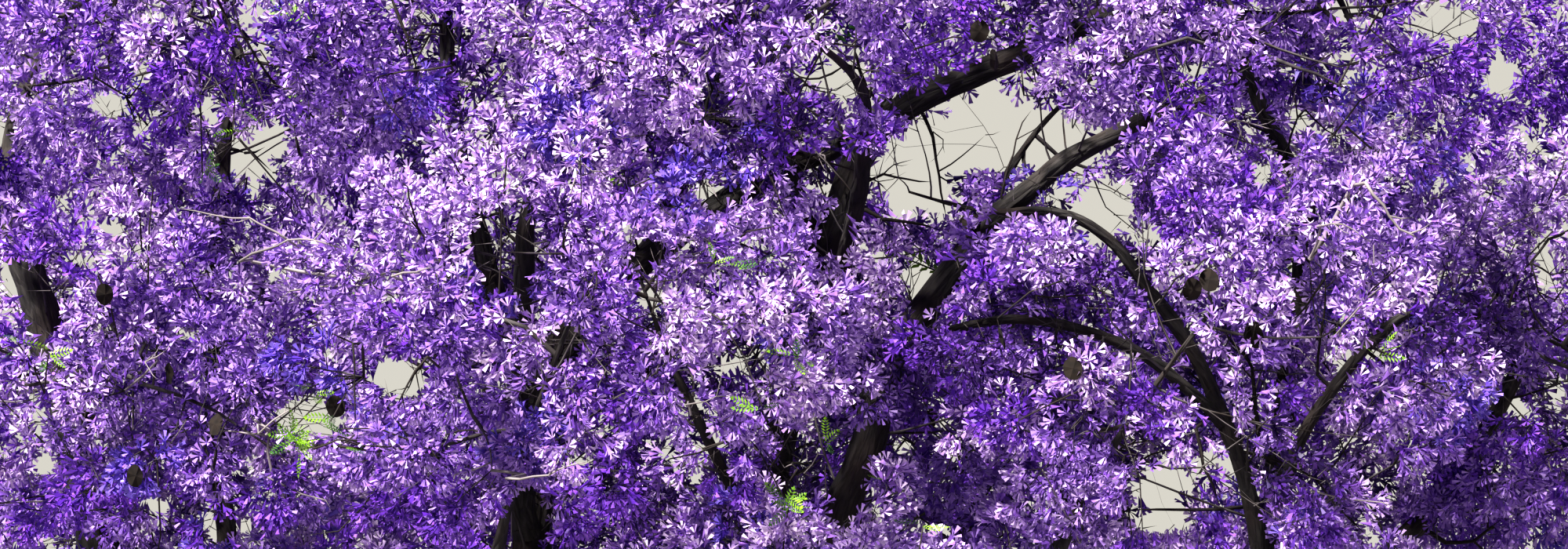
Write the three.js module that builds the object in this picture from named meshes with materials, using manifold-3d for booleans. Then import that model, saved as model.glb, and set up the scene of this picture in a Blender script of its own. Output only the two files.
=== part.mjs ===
// Jacaranda tree in full bloom, a young tree with one short trunk and a wide crown.
// Millimetres, +Z up. The origin is the middle of the flat cut under the trunk, at ground level.
// -Y is the side that the tree is looked at from, and +X is to the right there.
import * as THREE from 'three';
import { mergeVertices } from 'three/addons/utils/BufferGeometryUtils.js';
import Module from 'manifold-3d';

const wasm = await Module();
wasm.setup();

// Clearance between a limb and what carries it.
const SEAT = 0.35;
// Points closer than this are one point, and a fused mass is simplified to within this.
const WELD = 0.001;
const SIMPLE = 0.02;
// Least clearance between one mass of foliage and the next, and how far past its space a tip may reach.
const APART = 4;
const SPACE_EDGE = 1.03;

// Trunk: a flared foot, a slight lean and the height where it forks.
const FORK = [-90, 0, 1700];
const TRUNK_RADIUS = 150;
const FLARE_RADIUS = 110;
const FLARE_HEIGHT = 240;
const FLARE_RIDGES = 5;
const RIDGE_DEPTH = 0.3;
const FOOT_CUT = 120;
const TRUNK_BOW = 25;
const TRUNK_CROWN_HEIGHT = 130;
const TRUNK_CROWN_RADIUS = 105;
const TRUNK_SIDES = 16;
const TRUNK_STEPS = 8;

// Limbs. on and at: the limb that carries it, and how far along that one it starts (1 is its tip).
// tip: where it ends. bow: how far its middle stands off the straight line. root, end: its radii.
const LIMBS = {
  bough_left: {
    on: 'trunk', at: 0.96, root: 84, end: 64, tip: [-1960, -240, 3130], bow: [-60, 0, -190],
  },
  bough_left_upper: {
    on: 'bough_left', at: 1, root: 60, end: 50, tip: [-2190, -400, 4260], bow: [20, 0, 40],
  },
  bough_left_top: {
    on: 'bough_left_upper', at: 1, root: 34, end: 20, tip: [-2140, -230, 4870], bow: [-70, 0, 20],
  },
  bough_left_inner: {
    on: 'bough_left', at: 0.72, root: 36, end: 21, tip: [-1620, 250, 4860], bow: [-120, 0, 60],
  },
  bough_mid: {
    on: 'trunk', at: 0.99, root: 74, end: 54, tip: [-665, 260, 3985], bow: [-320, 20, 0],
  },
  bough_mid_upper: {
    on: 'bough_mid', at: 1, root: 50, end: 30, tip: [150, 300, 4570], bow: [-40, 0, 60],
  },
  bough_mid_left: {
    on: 'bough_mid', at: 0.9, root: 36, end: 20, tip: [-1000, 160, 5060], bow: [-90, 0, 40],
  },
  bough_front: {
    on: 'trunk', at: 0.98, root: 58, end: 50, tip: [285, -560, 3890], bow: [-90, -60, 0],
  },
  bough_front_upper: {
    on: 'bough_front', at: 1, root: 48, end: 18, tip: [1205, -620, 4700], bow: [-80, 0, 120],
  },
  bough_centre: {
    on: 'trunk', at: 1, root: 76, end: 52, tip: [175, 150, 4400], bow: [-170, 60, 0],
  },
  bough_centre_right: {
    on: 'bough_centre', at: 1, root: 47, end: 42, tip: [466, 220, 4746], bow: [-40, 0, 50],
  },
  bough_centre_far: {
    on: 'bough_centre_right', at: 1, root: 40, end: 26, tip: [1490, 330, 5170], bow: [0, 0, 20],
  },
  bough_centre_left: {
    on: 'bough_centre', at: 0.93, root: 42, end: 22, tip: [-190, 30, 5480], bow: [-110, 0, 60],
  },
  bough_right: {
    on: 'trunk', at: 0.95, root: 78, end: 56, tip: [1420, -350, 3130], bow: [60, 0, -170],
  },
  bough_right_upper: {
    on: 'bough_right', at: 1, root: 38, end: 22, tip: [2200, 120, 4000], bow: [60, -60, -60],
  },
  bough_right_inner: {
    on: 'bough_right', at: 0.86, root: 40, end: 28, tip: [1540, 190, 4440], bow: [60, 40, 0],
  },
  bough_right_top: {
    on: 'bough_right_inner', at: 1, root: 25, end: 14, tip: [1310, 160, 5120], bow: [-60, 0, 20],
  },
  limb_arch: {
    on: 'bough_right', at: 0.97, root: 30, end: 18, tip: [1010, -560, 4200], bow: [110, 0, 30],
  },
  limb_arch_tip: {
    on: 'limb_arch', at: 1, root: 16.5, end: 13, tip: [640, -640, 4375], bow: [20, 0, 70],
  },
  limb_low_arch: {
    on: 'limb_arch', at: 0.6, root: 18, end: 12, tip: [470, -760, 4045], bow: [20, -30, 125],
  },
  limb_right: {
    on: 'bough_right_upper', at: 0.12, root: 22, end: 16, tip: [1730, -760, 4070], bow: [-190, -60, 0],
  },
  limb_centre_low: {
    on: 'bough_front', at: 0.62, root: 22, end: 14, tip: [-290, -760, 3890], bow: [40, 0, -60],
  },
  bough_low_left: {
    on: 'bough_left', at: 0.3, root: 48, end: 28, tip: [-800, -1450, 3300], bow: [-60, -60, -110],
  },
  bough_low_right: {
    on: 'bough_right', at: 0.3, root: 48, end: 28, tip: [720, -1400, 3330], bow: [60, -60, -110],
  },
  bough_front_left: {
    on: 'bough_mid', at: 0.74, root: 38, end: 22, tip: [-640, -720, 4780], bow: [-60, -110, -40],
  },
  bough_front_high: {
    on: 'bough_centre', at: 0.86, root: 34, end: 21, tip: [230, -980, 4640], bow: [30, -60, -110],
  },
  bough_back_left: {
    on: 'bough_mid', at: 0.2, root: 62, end: 34, tip: [-1080, 1380, 3560], bow: [-60, 80, -120],
  },
  bough_back_right: {
    on: 'bough_centre', at: 0.15, root: 62, end: 34, tip: [900, 1440, 3520], bow: [60, 80, -120],
  },
  bough_back_upper: {
    on: 'bough_back_right', at: 0.5, root: 38, end: 22, tip: [640, 1130, 4360], bow: [20, 60, -60],
  },
  bough_back_top: {
    on: 'bough_mid_upper', at: 0.35, root: 34, end: 20, tip: [-180, 1180, 4900], bow: [0, 90, -40],
  },
};
const THICK = 40;
const BOUGH_SIDES = 7;
const LIMB_SIDES = 6;
const LIMB_STEP = 520;

// Masses of foliage stand in tiers round the crown: height and reach of their middles, how many,
// where the first one stands (degrees, 0 is +X), and each mass's half width and half height.
const TIERS = [
  { name: 'mass_low', z: 3000, reach: 1880, count: 6, turn: 30, wide: 900, tall: 640 },
  { name: 'mass_mid', z: 3920, reach: 2230, count: 8, turn: 30, wide: 900, tall: 680 },
  { name: 'mass_high', z: 4880, reach: 1820, count: 7, turn: 8, wide: 900, tall: 680 },
  { name: 'mass_top', z: 5640, reach: 880, count: 4, turn: 60, wide: 880, tall: 660 },
  { name: 'mass_crest', z: 6000, reach: 0, count: 1, turn: 0, wide: 700, tall: 560 },
];
const TIP_MASSES = ['limb_arch_tip', 'limb_low_arch', 'limb_centre_low'];
const TIP_MASS_TWIGS = 5;
const TIP_MASS_REACH = 260;
const TIP_MASS_LIFT = 60;
const TIP_MASS_WIDE = 520;
const TIP_MASS_TALL = 440;
const CROWN_DEPTH = 0.92;
const TIER_JITTER = 130;

// Twigs and blossom of one mass.
const STEM_SIDES = 4;
const STEM_STEPS = 3;
const STEM_LEAVE = 0.35;
const STEM_OVERRUN = 0.12;
const STEM_TIP_RADIUS = 15;
const STEM_LEAN = 0.5;
const STEM_TIP_SHARE = 0.9;
const STEM_SIDE_SHARE = 0.6;
const STEM_SIDE_RADIUS = 26;
const SIDE_FIRST = 0.3;
const SIDE_LAST = 0.95;
const SIDE_SPOTS = 14;
const HANG_COST = 1.2;
const SIDE_LEAST_RADIUS = 20;
const SIDE_LEAST_SPAN = 380;
const TWIGS = 8;
const SIDE_TWIGS = 2;
const TWIG_LAST = 0.97;
const TWIG_SPREAD = 0.5;
const TWIG_TURN_VARY = 0.7;
const TWIG_RADIUS = 16;
const TWIG_NECK = 22;
const TWIG_LEAST = 90;
const SIDE_TWIG_FIRST = 0.3;
const SIDE_TWIG_GAP = 0.35;
const SIDE_TWIG_VARY = 0.12;
const SIDE_TWIG_LONG = 0.8;
const SIDE_TWIG_RADIUS = 13;
const SIDE_TWIG_MOST = 420;
const SIDE_TWIG_LEAN = 0.6;
const BLOOM_LENGTH = 450;
const BLOOM_WIDTH = 350;
const BLOOM_LEAST = 0.8;
const BLOOM_VARY = 0.3;
const BLOOM_SUNK = 0.32;
const BLOOM_SIDE_ROOM = 0.3;
const BLOOM_LIFT = 0.35;
const BLOOM_SPACING = 262;
const GOLDEN_TURN = 2.399963;
const CROWN_SEED = 1907;
const MASS_SEED = 101;
const TIP_MASS_SEED = 50021;
const SEED_STEP = 7919;

// Flat round seed pods hang edge up from a few twigs.
const POD_RADIUS = 62;
const POD_THICKNESS = 26;
const POD_SPOT = 0.62;
const POD_SUNK = 0.9;
const POD_CLEAR = 260;
const POD_EVERY = 2;

// Open lanes through the crown, where sky shows between the masses from 20 m in front of it.
// Each is an upright ellipse in the plane of the trunk: middle x and z, half width, half height.
const VIEW_DISTANCE = 20000;
const VIEW_HEIGHT = 4200;
const LANES = [
  [700, 4500, 360, 215],
  [1440, 4465, 90, 95],
  [1780, 4930, 190, 80],
  [1130, 3540, 130, 100],
  [-1800, 4610, 260, 135],
  [-2080, 3670, 220, 130],
  [-1290, 3790, 140, 90],
  [-115, 4245, 110, 75],
  [-560, 3680, 90, 80],
];

const COLOURS = {
  bark: 0x3a3230,
  blossom: [0x9a6ee0, 0x8458cf, 0xb08af0, 0x7347bd, 0xa27be6],
};

const vector = (p) => new THREE.Vector3(p[0], p[1], p[2]);

// Park-Miller generator: the same seed gives the same tree.
function seeded(seed) {
  let state = seed;
  return () => {
    state = (state * 16807) % 2147483647;
    return state / 2147483647;
  };
}

// Closed three.js geometry to a solid.
function solidOf(geometry) {
  geometry.deleteAttribute('normal');
  geometry.deleteAttribute('uv');
  const merged = mergeVertices(geometry, WELD);
  const mesh = new wasm.Mesh({
    numProp: 3,
    vertProperties: new Float32Array(merged.attributes.position.array),
    triVerts: new Uint32Array(merged.index.array),
  });
  mesh.merge();
  return new wasm.Manifold(mesh);
}

function geometryOf(solid) {
  const mesh = solid.getMesh();
  const geometry = new THREE.BufferGeometry();
  geometry.setAttribute('position', new THREE.BufferAttribute(mesh.vertProperties.slice(), 3));
  geometry.setIndex(new THREE.BufferAttribute(mesh.triVerts.slice(), 1));
  geometry.computeVertexNormals();
  return geometry;
}

// The main body of a solid, without loose scraps and sealed hollows.
function mainBody(solid) {
  const bodies = solid.decompose();
  return bodies.reduce((best, body) => (body.volume() > best.volume() ? body : best), bodies[0]);
}

// A unit vector at right angles to an axis, turned about it by an angle.
function across(axis, angle) {
  const helper = Math.abs(axis.z) < 0.9 ? new THREE.Vector3(0, 0, 1) : new THREE.Vector3(1, 0, 0);
  const side = helper.cross(axis).normalize();
  return side.applyAxisAngle(axis, angle);
}

// The stations of a bend from a to b whose middle stands off the straight line by bow.
function bend(a, b, bow, steps) {
  const control = a.clone().add(b).multiplyScalar(0.5).addScaledVector(bow, 2);
  return new THREE.QuadraticBezierCurve3(a, control, b).getPoints(steps);
}

// The point at a fraction of a spine's stations.
function spotOn(spine, t) {
  const place = t * (spine.length - 1);
  const i = Math.min(spine.length - 2, Math.floor(place));
  return spine[i].clone().lerp(spine[i + 1], place - i);
}

// The heading of a spine at one of its stations.
function headingAt(spine, i) {
  const next = spine[Math.min(spine.length - 1, i + 1)];
  return next.clone().sub(spine[Math.max(0, i - 1)]).normalize();
}

// A round tube laid along a spine, with the radius given at each fraction of it.
// grow makes it that much larger all round, its two ends included.
function tube(spine, radiusAt, sides, grow) {
  const steps = spine.length - 1;
  const geometry = new THREE.CylinderGeometry(1, 1, 1, sides, steps);
  const frames = [];
  let side = across(headingAt(spine, 0), 0);
  for (let i = 0; i <= steps; i += 1) {
    const heading = headingAt(spine, i);
    side = side.clone().addScaledVector(heading, -side.dot(heading)).normalize();
    frames.push({ heading, side, other: side.clone().cross(heading) });
  }
  const spots = geometry.attributes.position;
  for (let i = 0; i < spots.count; i += 1) {
    const station = Math.round((spots.getY(i) + 0.5) * steps);
    const frame = frames[station];
    const radius = radiusAt(station / steps, Math.atan2(spots.getZ(i), spots.getX(i))) + grow;
    const spot = spine[station].clone();
    spot.addScaledVector(frame.side, spots.getX(i) * radius);
    spot.addScaledVector(frame.other, spots.getZ(i) * radius);
    if (station === 0 || station === steps) {
      spot.addScaledVector(frame.heading, station === 0 ? -grow : grow);
    }
    spots.setXYZ(i, spot.x, spot.y, spot.z);
  }
  return solidOf(geometry);
}

// Trunk: its lower end is a flat cut at ground level, its upper end narrows between the boughs.
function makeTrunk() {
  const foot = new THREE.Vector3(0, 0, -FOOT_CUT);
  const top = vector(FORK).add(new THREE.Vector3(0, 0, TRUNK_CROWN_HEIGHT));
  const spine = bend(foot, top, new THREE.Vector3(TRUNK_BOW, 0, 0), TRUNK_STEPS);
  const radiusAt = (t, turn) => {
    const rise = Math.max(0, foot.z + t * (top.z - foot.z));
    const flare = FLARE_RADIUS * Math.exp(-rise / FLARE_HEIGHT);
    const ridge = 1 + RIDGE_DEPTH * Math.cos(FLARE_RIDGES * turn);
    const shoulder = Math.max(0, (rise - FORK[2]) / TRUNK_CROWN_HEIGHT);
    return TRUNK_RADIUS + flare * ridge - (TRUNK_RADIUS - TRUNK_CROWN_RADIUS) * shoulder;
  };
  const shape = (grow) => tube(spine, radiusAt, TRUNK_SIDES, grow);
  return { spine, solid: shape(0).subtract(groundCutter()), grown: shape(SEAT) };
}

// A block that takes away what lies below ground level.
function groundCutter() {
  const depth = 3 * FOOT_CUT;
  const side = 4 * (FOOT_CUT + TRUNK_RADIUS);
  const block = new THREE.BoxGeometry(side, side, depth);
  block.translate(0, 0, -depth / 2);
  return solidOf(block);
}

// A limb starts inside the one that carries it and is cut to its surface.
function makeLimb(limb, carrier, neighbours) {
  const start = spotOn(carrier.spine, limb.at);
  const end = vector(limb.tip);
  const sides = limb.root > THICK ? BOUGH_SIDES : LIMB_SIDES;
  const steps = Math.max(3, Math.round(start.distanceTo(end) / LIMB_STEP));
  const spine = bend(start, end, vector(limb.bow), steps);
  const shape = (grow) => tube(spine, (t) => limb.root + (limb.end - limb.root) * t, sides, grow);
  let solid = shape(0);
  for (const neighbour of neighbours) {
    solid = solid.subtract(neighbour.grown);
  }
  return { spine, solid: mainBody(solid), grown: shape(SEAT), root: limb.root, end: limb.end };
}

// Middles of the masses, tier by tier.
function placeMasses() {
  const random = seeded(CROWN_SEED);
  const masses = [];
  for (const tier of TIERS) {
    for (let i = 0; i < tier.count; i += 1) {
      const turn = ((tier.turn + (360 * i) / tier.count) * Math.PI) / 180;
      const jitter = [random(), random(), random()].map((r) => (r - 0.5) * 2 * TIER_JITTER);
      const middle = new THREE.Vector3(
        tier.reach * Math.cos(turn) + jitter[0],
        tier.reach * CROWN_DEPTH * Math.sin(turn) + jitter[1],
        tier.z + jitter[2],
      );
      const name = tier.count > 1 ? `${tier.name}_${i + 1}` : tier.name;
      const seed = MASS_SEED + masses.length * SEED_STEP;
      masses.push({ name, middle, wide: tier.wide, tall: tier.tall, twigs: TWIGS, seed });
    }
  }
  return masses;
}

// A small mass at the tip of each thin limb.
function placeTipMasses(limbs) {
  return TIP_MASSES.map((name, i) => {
    const { spine } = limbs[name];
    const middle = spotOn(spine, 1).addScaledVector(headingAt(spine, spine.length - 1), TIP_MASS_REACH);
    middle.z += TIP_MASS_LIFT;
    return {
      name: name.replace('limb', 'mass'),
      middle,
      wide: TIP_MASS_WIDE,
      twigs: TIP_MASS_TWIGS,
      tall: TIP_MASS_TALL,
      seed: TIP_MASS_SEED + i * SEED_STEP,
      seat: { limb: limbs[name], at: 1 },
    };
  });
}

// The least distance between two straight stretches, p1 to q1 and p2 to q2.
function stretchDistance(p1, q1, p2, q2) {
  const d1 = q1.clone().sub(p1);
  const d2 = q2.clone().sub(p2);
  const r = p1.clone().sub(p2);
  const a = d1.dot(d1);
  const e = d2.dot(d2);
  const f = d2.dot(r);
  const c = d1.dot(r);
  const b = d1.dot(d2);
  const denominator = a * e - b * b;
  const clamp = (v) => Math.min(1, Math.max(0, v));
  let s = denominator > 1e-9 ? clamp((b * f - c * e) / denominator) : 0;
  let t = (b * s + f) / e;
  if (t < 0) {
    t = 0;
    s = clamp(-c / a);
  } else if (t > 1) {
    t = 1;
    s = clamp((b - c) / a);
  }
  return p1.clone().addScaledVector(d1, s).distanceTo(p2.clone().addScaledVector(d2, t));
}

// Straight stretches of a limb, each with its greater radius, for keeping foliage clear of it.
function stretchesOf(limb) {
  const steps = limb.spine.length - 1;
  return limb.spine.slice(0, steps).map((from, i) => ({
    from,
    to: limb.spine[i + 1],
    radius: limb.root + ((limb.end - limb.root) * i) / steps,
  }));
}

// Whether a point lies in one of the open lanes.
function inLane(point) {
  const near = 1 + point.y / VIEW_DISTANCE;
  const x = point.x / near;
  const z = VIEW_HEIGHT + (point.z - VIEW_HEIGHT) / near;
  return LANES.some(([u, v, w, h]) => ((x - u) / w) ** 2 + ((z - v) / h) ** 2 < 1);
}

// The space of one mass: an ellipsoid round its middle, cut back where other masses are nearer.
function makeSpace(mass, masses, obstacles) {
  const walls = masses.filter((other) => other !== mass).map((other) => {
    const normal = other.middle.clone().sub(mass.middle);
    const span = normal.length();
    return { normal: normal.divideScalar(span), off: span / 2 - APART };
  });
  const scaled = (v) => new THREE.Vector3(v.x / mass.wide, v.y / mass.wide, v.z / mass.tall);
  const inside = (point, margin) => {
    const d = point.clone().sub(mass.middle);
    return scaled(d).length() < SPACE_EDGE && walls.every((wall) => d.dot(wall.normal) < wall.off - margin);
  };
  // How far a ray can go before it leaves the space.
  const room = (point, heading, margin) => {
    const d = point.clone().sub(mass.middle);
    const p = scaled(d);
    const h = scaled(heading);
    const b = p.dot(h);
    const root = b * b - h.dot(h) * (p.dot(p) - 1);
    let far = root > 0 ? (Math.sqrt(root) - b) / h.dot(h) : 0;
    for (const wall of walls) {
      const speed = heading.dot(wall.normal);
      if (speed > 1e-6) {
        far = Math.min(far, (wall.off - margin - d.dot(wall.normal)) / speed);
      }
    }
    return far;
  };
  const clear = (from, to, radius) => obstacles.every(
    (o) => o.owner === mass || stretchDistance(from, to, o.from, o.to) > radius + o.radius + APART,
  );
  return { inside, room, clear };
}

// The growth rule of one mass: twigs leave the stem round a spiral, each with side twigs,
// and every twig runs out to the edge of the space and ends in a blossom spray that turns up a little.
function growTwigs(mass, space) {
  const random = seeded(mass.seed);
  const twigs = [];
  const blooms = [];
  const drawBloom = () => ({
    length: BLOOM_LENGTH * (BLOOM_LEAST + BLOOM_VARY * random()),
    width: BLOOM_WIDTH * (BLOOM_LEAST + BLOOM_VARY * random()),
    spin: random() * Math.PI,
  });
  const placeBloom = (bloom, at, heading) => {
    bloom.axis = heading.clone().add(new THREE.Vector3(0, 0, BLOOM_LIFT)).normalize();
    bloom.base = at.clone().addScaledVector(bloom.axis, -BLOOM_SUNK * bloom.length);
    bloom.tip = bloom.base.clone().addScaledVector(bloom.axis, bloom.length);
    bloom.middle = bloom.base.clone().lerp(bloom.tip, 0.5);
    const rim = [0, 1, 2, 3].map((k) => bloom.middle.clone()
      .addScaledVector(across(bloom.axis, bloom.spin + (k * Math.PI) / 2), bloom.width / 2));
    return [bloom.base, bloom.tip, ...rim].every((p) => space.inside(p, 0))
      && space.clear(bloom.base, bloom.tip, bloom.width / 2)
      && !inLane(bloom.middle)
      && !inLane(bloom.tip)
      && blooms.every((other) => bloom.middle.distanceTo(other.middle) > BLOOM_SPACING);
  };
  const fits = (twig) => space.inside(twig.from, twig.radius)
    && space.inside(twig.to, twig.radius)
    && space.clear(twig.from, twig.to, twig.radius);
  // Twig length that leaves room for the spray at its end.
  const outTo = (from, heading, bloom) => space.room(from, heading, BLOOM_SIDE_ROOM * bloom.width)
    - (1 - BLOOM_SUNK) * bloom.length;
  for (let i = 0; i < mass.twigs; i += 1) {
    const level = 1 - (2 * (i + 0.5)) / mass.twigs;
    const round = i * GOLDEN_TURN + random() * TWIG_TURN_VARY;
    const flat = Math.sqrt(1 - level * level);
    const heading = new THREE.Vector3(flat * Math.cos(round), flat * Math.sin(round), level);
    const start = spotOn(mass.spine, TWIG_LAST - (TWIG_SPREAD * (i + random())) / mass.twigs);
    const spray = drawBloom();
    const sides = [];
    for (let k = 0; k < SIDE_TWIGS; k += 1) {
      const at = SIDE_TWIG_FIRST + SIDE_TWIG_GAP * k + SIDE_TWIG_VARY * random();
      const turn = random() * Math.PI;
      const long = SIDE_TWIG_LONG + (1 - SIDE_TWIG_LONG) * random();
      sides.push({ at, turn, long, spray: drawBloom() });
    }
    const length = outTo(start, heading, spray);
    const twig = { from: start, to: start.clone().addScaledVector(heading, length), radius: TWIG_RADIUS };
    if (length < TWIG_LEAST || !fits(twig)) {
      continue;
    }
    twigs.push(twig);
    if (placeBloom(spray, twig.to, heading)) {
      blooms.push(spray);
    }
    sides.forEach((side, k) => {
      const root = start.clone().lerp(twig.to, side.at);
      const lean = heading.clone().multiplyScalar(SIDE_TWIG_LEAN)
        .addScaledVector(across(heading, side.turn + k * Math.PI), 1).normalize();
      const run = Math.min(SIDE_TWIG_MOST, outTo(root, lean, side.spray) * side.long);
      const branch = { from: root, to: root.clone().addScaledVector(lean, run), radius: SIDE_TWIG_RADIUS };
      if (run > TWIG_LEAST && fits(branch) && placeBloom(side.spray, branch.to, lean)) {
        twigs.push(branch);
        blooms.push(side.spray);
      }
    });
  }
  return { twigs, blooms };
}

// A three-sided twig: a point sunk in what it grows from, a thick neck, and a taper into its spray.
function twigSolid(twig) {
  const along = twig.to.clone().sub(twig.from);
  const length = along.length() + TWIG_RADIUS;
  const profile = [
    new THREE.Vector2(0, 0),
    new THREE.Vector2(twig.radius, TWIG_NECK),
    new THREE.Vector2(0, length),
  ];
  const geometry = new THREE.LatheGeometry(profile, 3);
  geometry.applyQuaternion(new THREE.Quaternion().setFromUnitVectors(
    new THREE.Vector3(0, 1, 0),
    along.clone().normalize(),
  ));
  geometry.translate(twig.from.x, twig.from.y, twig.from.z);
  return solidOf(geometry);
}

// Where a pod hangs: under the middle of the first twig that leaves room for it.
function placePod(mass, space, twigs, blooms) {
  for (const twig of twigs.filter((one) => one.radius === TWIG_RADIUS)) {
    const middle = twig.from.clone().lerp(twig.to, POD_SPOT);
    middle.z -= POD_RADIUS * POD_SUNK;
    const low = middle.clone().setZ(middle.z - POD_RADIUS);
    const free = blooms.every((bloom) => bloom.middle.distanceTo(middle) > POD_CLEAR);
    if (free && space.inside(low, POD_RADIUS) && space.clear(middle, low, POD_RADIUS)) {
      return [{ middle, turn: mass.seed }];
    }
  }
  return [];
}

function podSolid(pod) {
  const geometry = new THREE.OctahedronGeometry(1, 0);
  geometry.scale(POD_RADIUS, POD_THICKNESS / 2, POD_RADIUS);
  geometry.rotateZ(pod.turn);
  geometry.translate(pod.middle.x, pod.middle.y, pod.middle.z);
  return solidOf(geometry);
}

// A blossom spray as a body of eight faces.
function bloomSolid(bloom) {
  const geometry = new THREE.OctahedronGeometry(1, 0);
  const side = across(bloom.axis, bloom.spin);
  const other = bloom.axis.clone().cross(side);
  const frame = new THREE.Matrix4().makeBasis(
    side.multiplyScalar(bloom.width / 2),
    other.multiplyScalar(bloom.width / 2),
    bloom.axis.clone().multiplyScalar(bloom.length / 2),
  );
  frame.setPosition(bloom.middle);
  geometry.applyMatrix4(frame);
  return solidOf(geometry);
}

// A stem from its limb into the mass. One on a limb's side first leans towards the mass.
function placeStem(mass) {
  const { limb, at } = mass.seat;
  const steps = limb.spine.length - 1;
  const spot = spotOn(limb.spine, at);
  const radius = limb.root + (limb.end - limb.root) * at;
  const heading = headingAt(limb.spine, Math.round(at * steps));
  const towards = mass.middle.clone().sub(spot);
  const span = towards.length();
  towards.normalize();
  const leave = at < 1 ? heading.clone().multiplyScalar(STEM_LEAN).add(towards).normalize() : heading;
  const start = spot.clone().addScaledVector(leave, at < 1 ? 0 : -radius);
  const control = spot.clone().addScaledVector(leave, span * STEM_LEAVE);
  const inner = mass.middle.clone().addScaledVector(towards, span * STEM_OVERRUN);
  mass.spine = new THREE.QuadraticBezierCurve3(start, control, inner).getPoints(STEM_STEPS);
  mass.root = at < 1 ? Math.min(radius * STEM_SIDE_SHARE, STEM_SIDE_RADIUS) : radius * STEM_TIP_SHARE;
  mass.end = Math.min(mass.root, STEM_TIP_RADIUS);
}

function stemSolid(mass, grow) {
  return tube(mass.spine, (t) => mass.root + (mass.end - mass.root) * t, STEM_SIDES, grow);
}

// How far a mass is from a spot on a limb. A mass lower than the spot counts as farther.
function reachTo(spot, mass) {
  return spot.distanceTo(mass.middle) + Math.max(0, spot.z - mass.middle.z) * HANG_COST;
}

// The nearest free tip and mass are joined first, then the next nearest, until each tip has a mass.
// The masses left over stand on the nearest thick stretch of any limb.
function seatMasses(masses, limbs) {
  const carrying = new Set(Object.values(LIMBS).filter((limb) => limb.at === 1).map((limb) => limb.on));
  const tips = Object.keys(LIMBS).filter((name) => !carrying.has(name) && !TIP_MASSES.includes(name));
  const pairs = tips.flatMap((name) => masses.map((mass) => {
    const tip = spotOn(limbs[name].spine, 1);
    return { name, mass, far: reachTo(tip, mass) };
  }));
  pairs.sort((one, other) => one.far - other.far);
  const taken = new Set();
  for (const { name, mass } of pairs) {
    if (!taken.has(name) && !mass.seat) {
      mass.seat = { limb: limbs[name], at: 1 };
      taken.add(name);
    }
  }
  for (const mass of masses.filter((one) => !one.seat)) {
    let least = Infinity;
    for (const name of Object.keys(LIMBS)) {
      const limb = limbs[name];
      for (let i = 0; i < SIDE_SPOTS; i += 1) {
        const at = SIDE_FIRST + ((SIDE_LAST - SIDE_FIRST) * i) / (SIDE_SPOTS - 1);
        const spot = spotOn(limb.spine, at);
        const far = reachTo(spot, mass);
        if (limb.end >= SIDE_LEAST_RADIUS && spot.distanceTo(mass.middle) > SIDE_LEAST_SPAN && far < least) {
          least = far;
          mass.seat = { limb, at };
        }
      }
    }
  }
}

function named(name, solid, colour, roughness) {
  const material = new THREE.MeshStandardMaterial({ color: colour, roughness, metalness: 0 });
  const mesh = new THREE.Mesh(geometryOf(solid), material);
  mesh.name = name;
  return mesh;
}

// Trunk and limbs, each cut to the surface of those made before it that it could meet.
const tree = new THREE.Group();
const limbs = { trunk: makeTrunk() };
for (const [name, limb] of Object.entries(LIMBS)) {
  limbs[name] = makeLimb(limb, limbs[limb.on], Object.values(limbs));
}
tree.add(named('trunk', limbs.trunk.solid, COLOURS.bark, 0.95));
for (const name of Object.keys(LIMBS)) {
  tree.add(named(name, limbs[name].solid, COLOURS.bark, 0.95));
}

// Masses: all the stems first, so that foliage keeps clear of every one of them.
const masses = placeMasses();
seatMasses(masses, limbs);
masses.push(...placeTipMasses(limbs));
const obstacles = [];
for (const name of Object.keys(LIMBS)) {
  obstacles.push(...stretchesOf(limbs[name]));
}
const standing = Object.values(limbs).map((limb) => limb.grown);
for (const mass of masses) {
  placeStem(mass);
  obstacles.push(...stretchesOf(mass).map((stretch) => ({ ...stretch, owner: mass })));
  mass.stem = standing.reduce((solid, other) => solid.subtract(other), stemSolid(mass, 0));
  standing.push(stemSolid(mass, SEAT));
}
masses.forEach((mass, i) => {
  const space = makeSpace(mass, masses, obstacles);
  const { twigs, blooms } = growTwigs(mass, space);
  const pods = i % POD_EVERY === 0 ? placePod(mass, space, twigs, blooms) : [];
  const pieces = [
    mainBody(mass.stem),
    ...twigs.map(twigSolid),
    ...blooms.map(bloomSolid),
    ...pods.map(podSolid),
  ];
  const solid = mainBody(wasm.Manifold.union(pieces).simplify(SIMPLE));
  tree.add(named(mass.name, solid, COLOURS.blossom[i % COLOURS.blossom.length], 0.8));
});

export default tree;
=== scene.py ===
# Jacaranda tree in full bloom: bark, twigs, blossom, leaves and pods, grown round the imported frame.
# Growth is worked out in millimetres by the same rule as the frame's solids, and meshes are made in metres.
import math

import bpy
import numpy as np
from bpy.props import FloatProperty, FloatVectorProperty, PointerProperty
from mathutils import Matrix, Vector, noise


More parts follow.
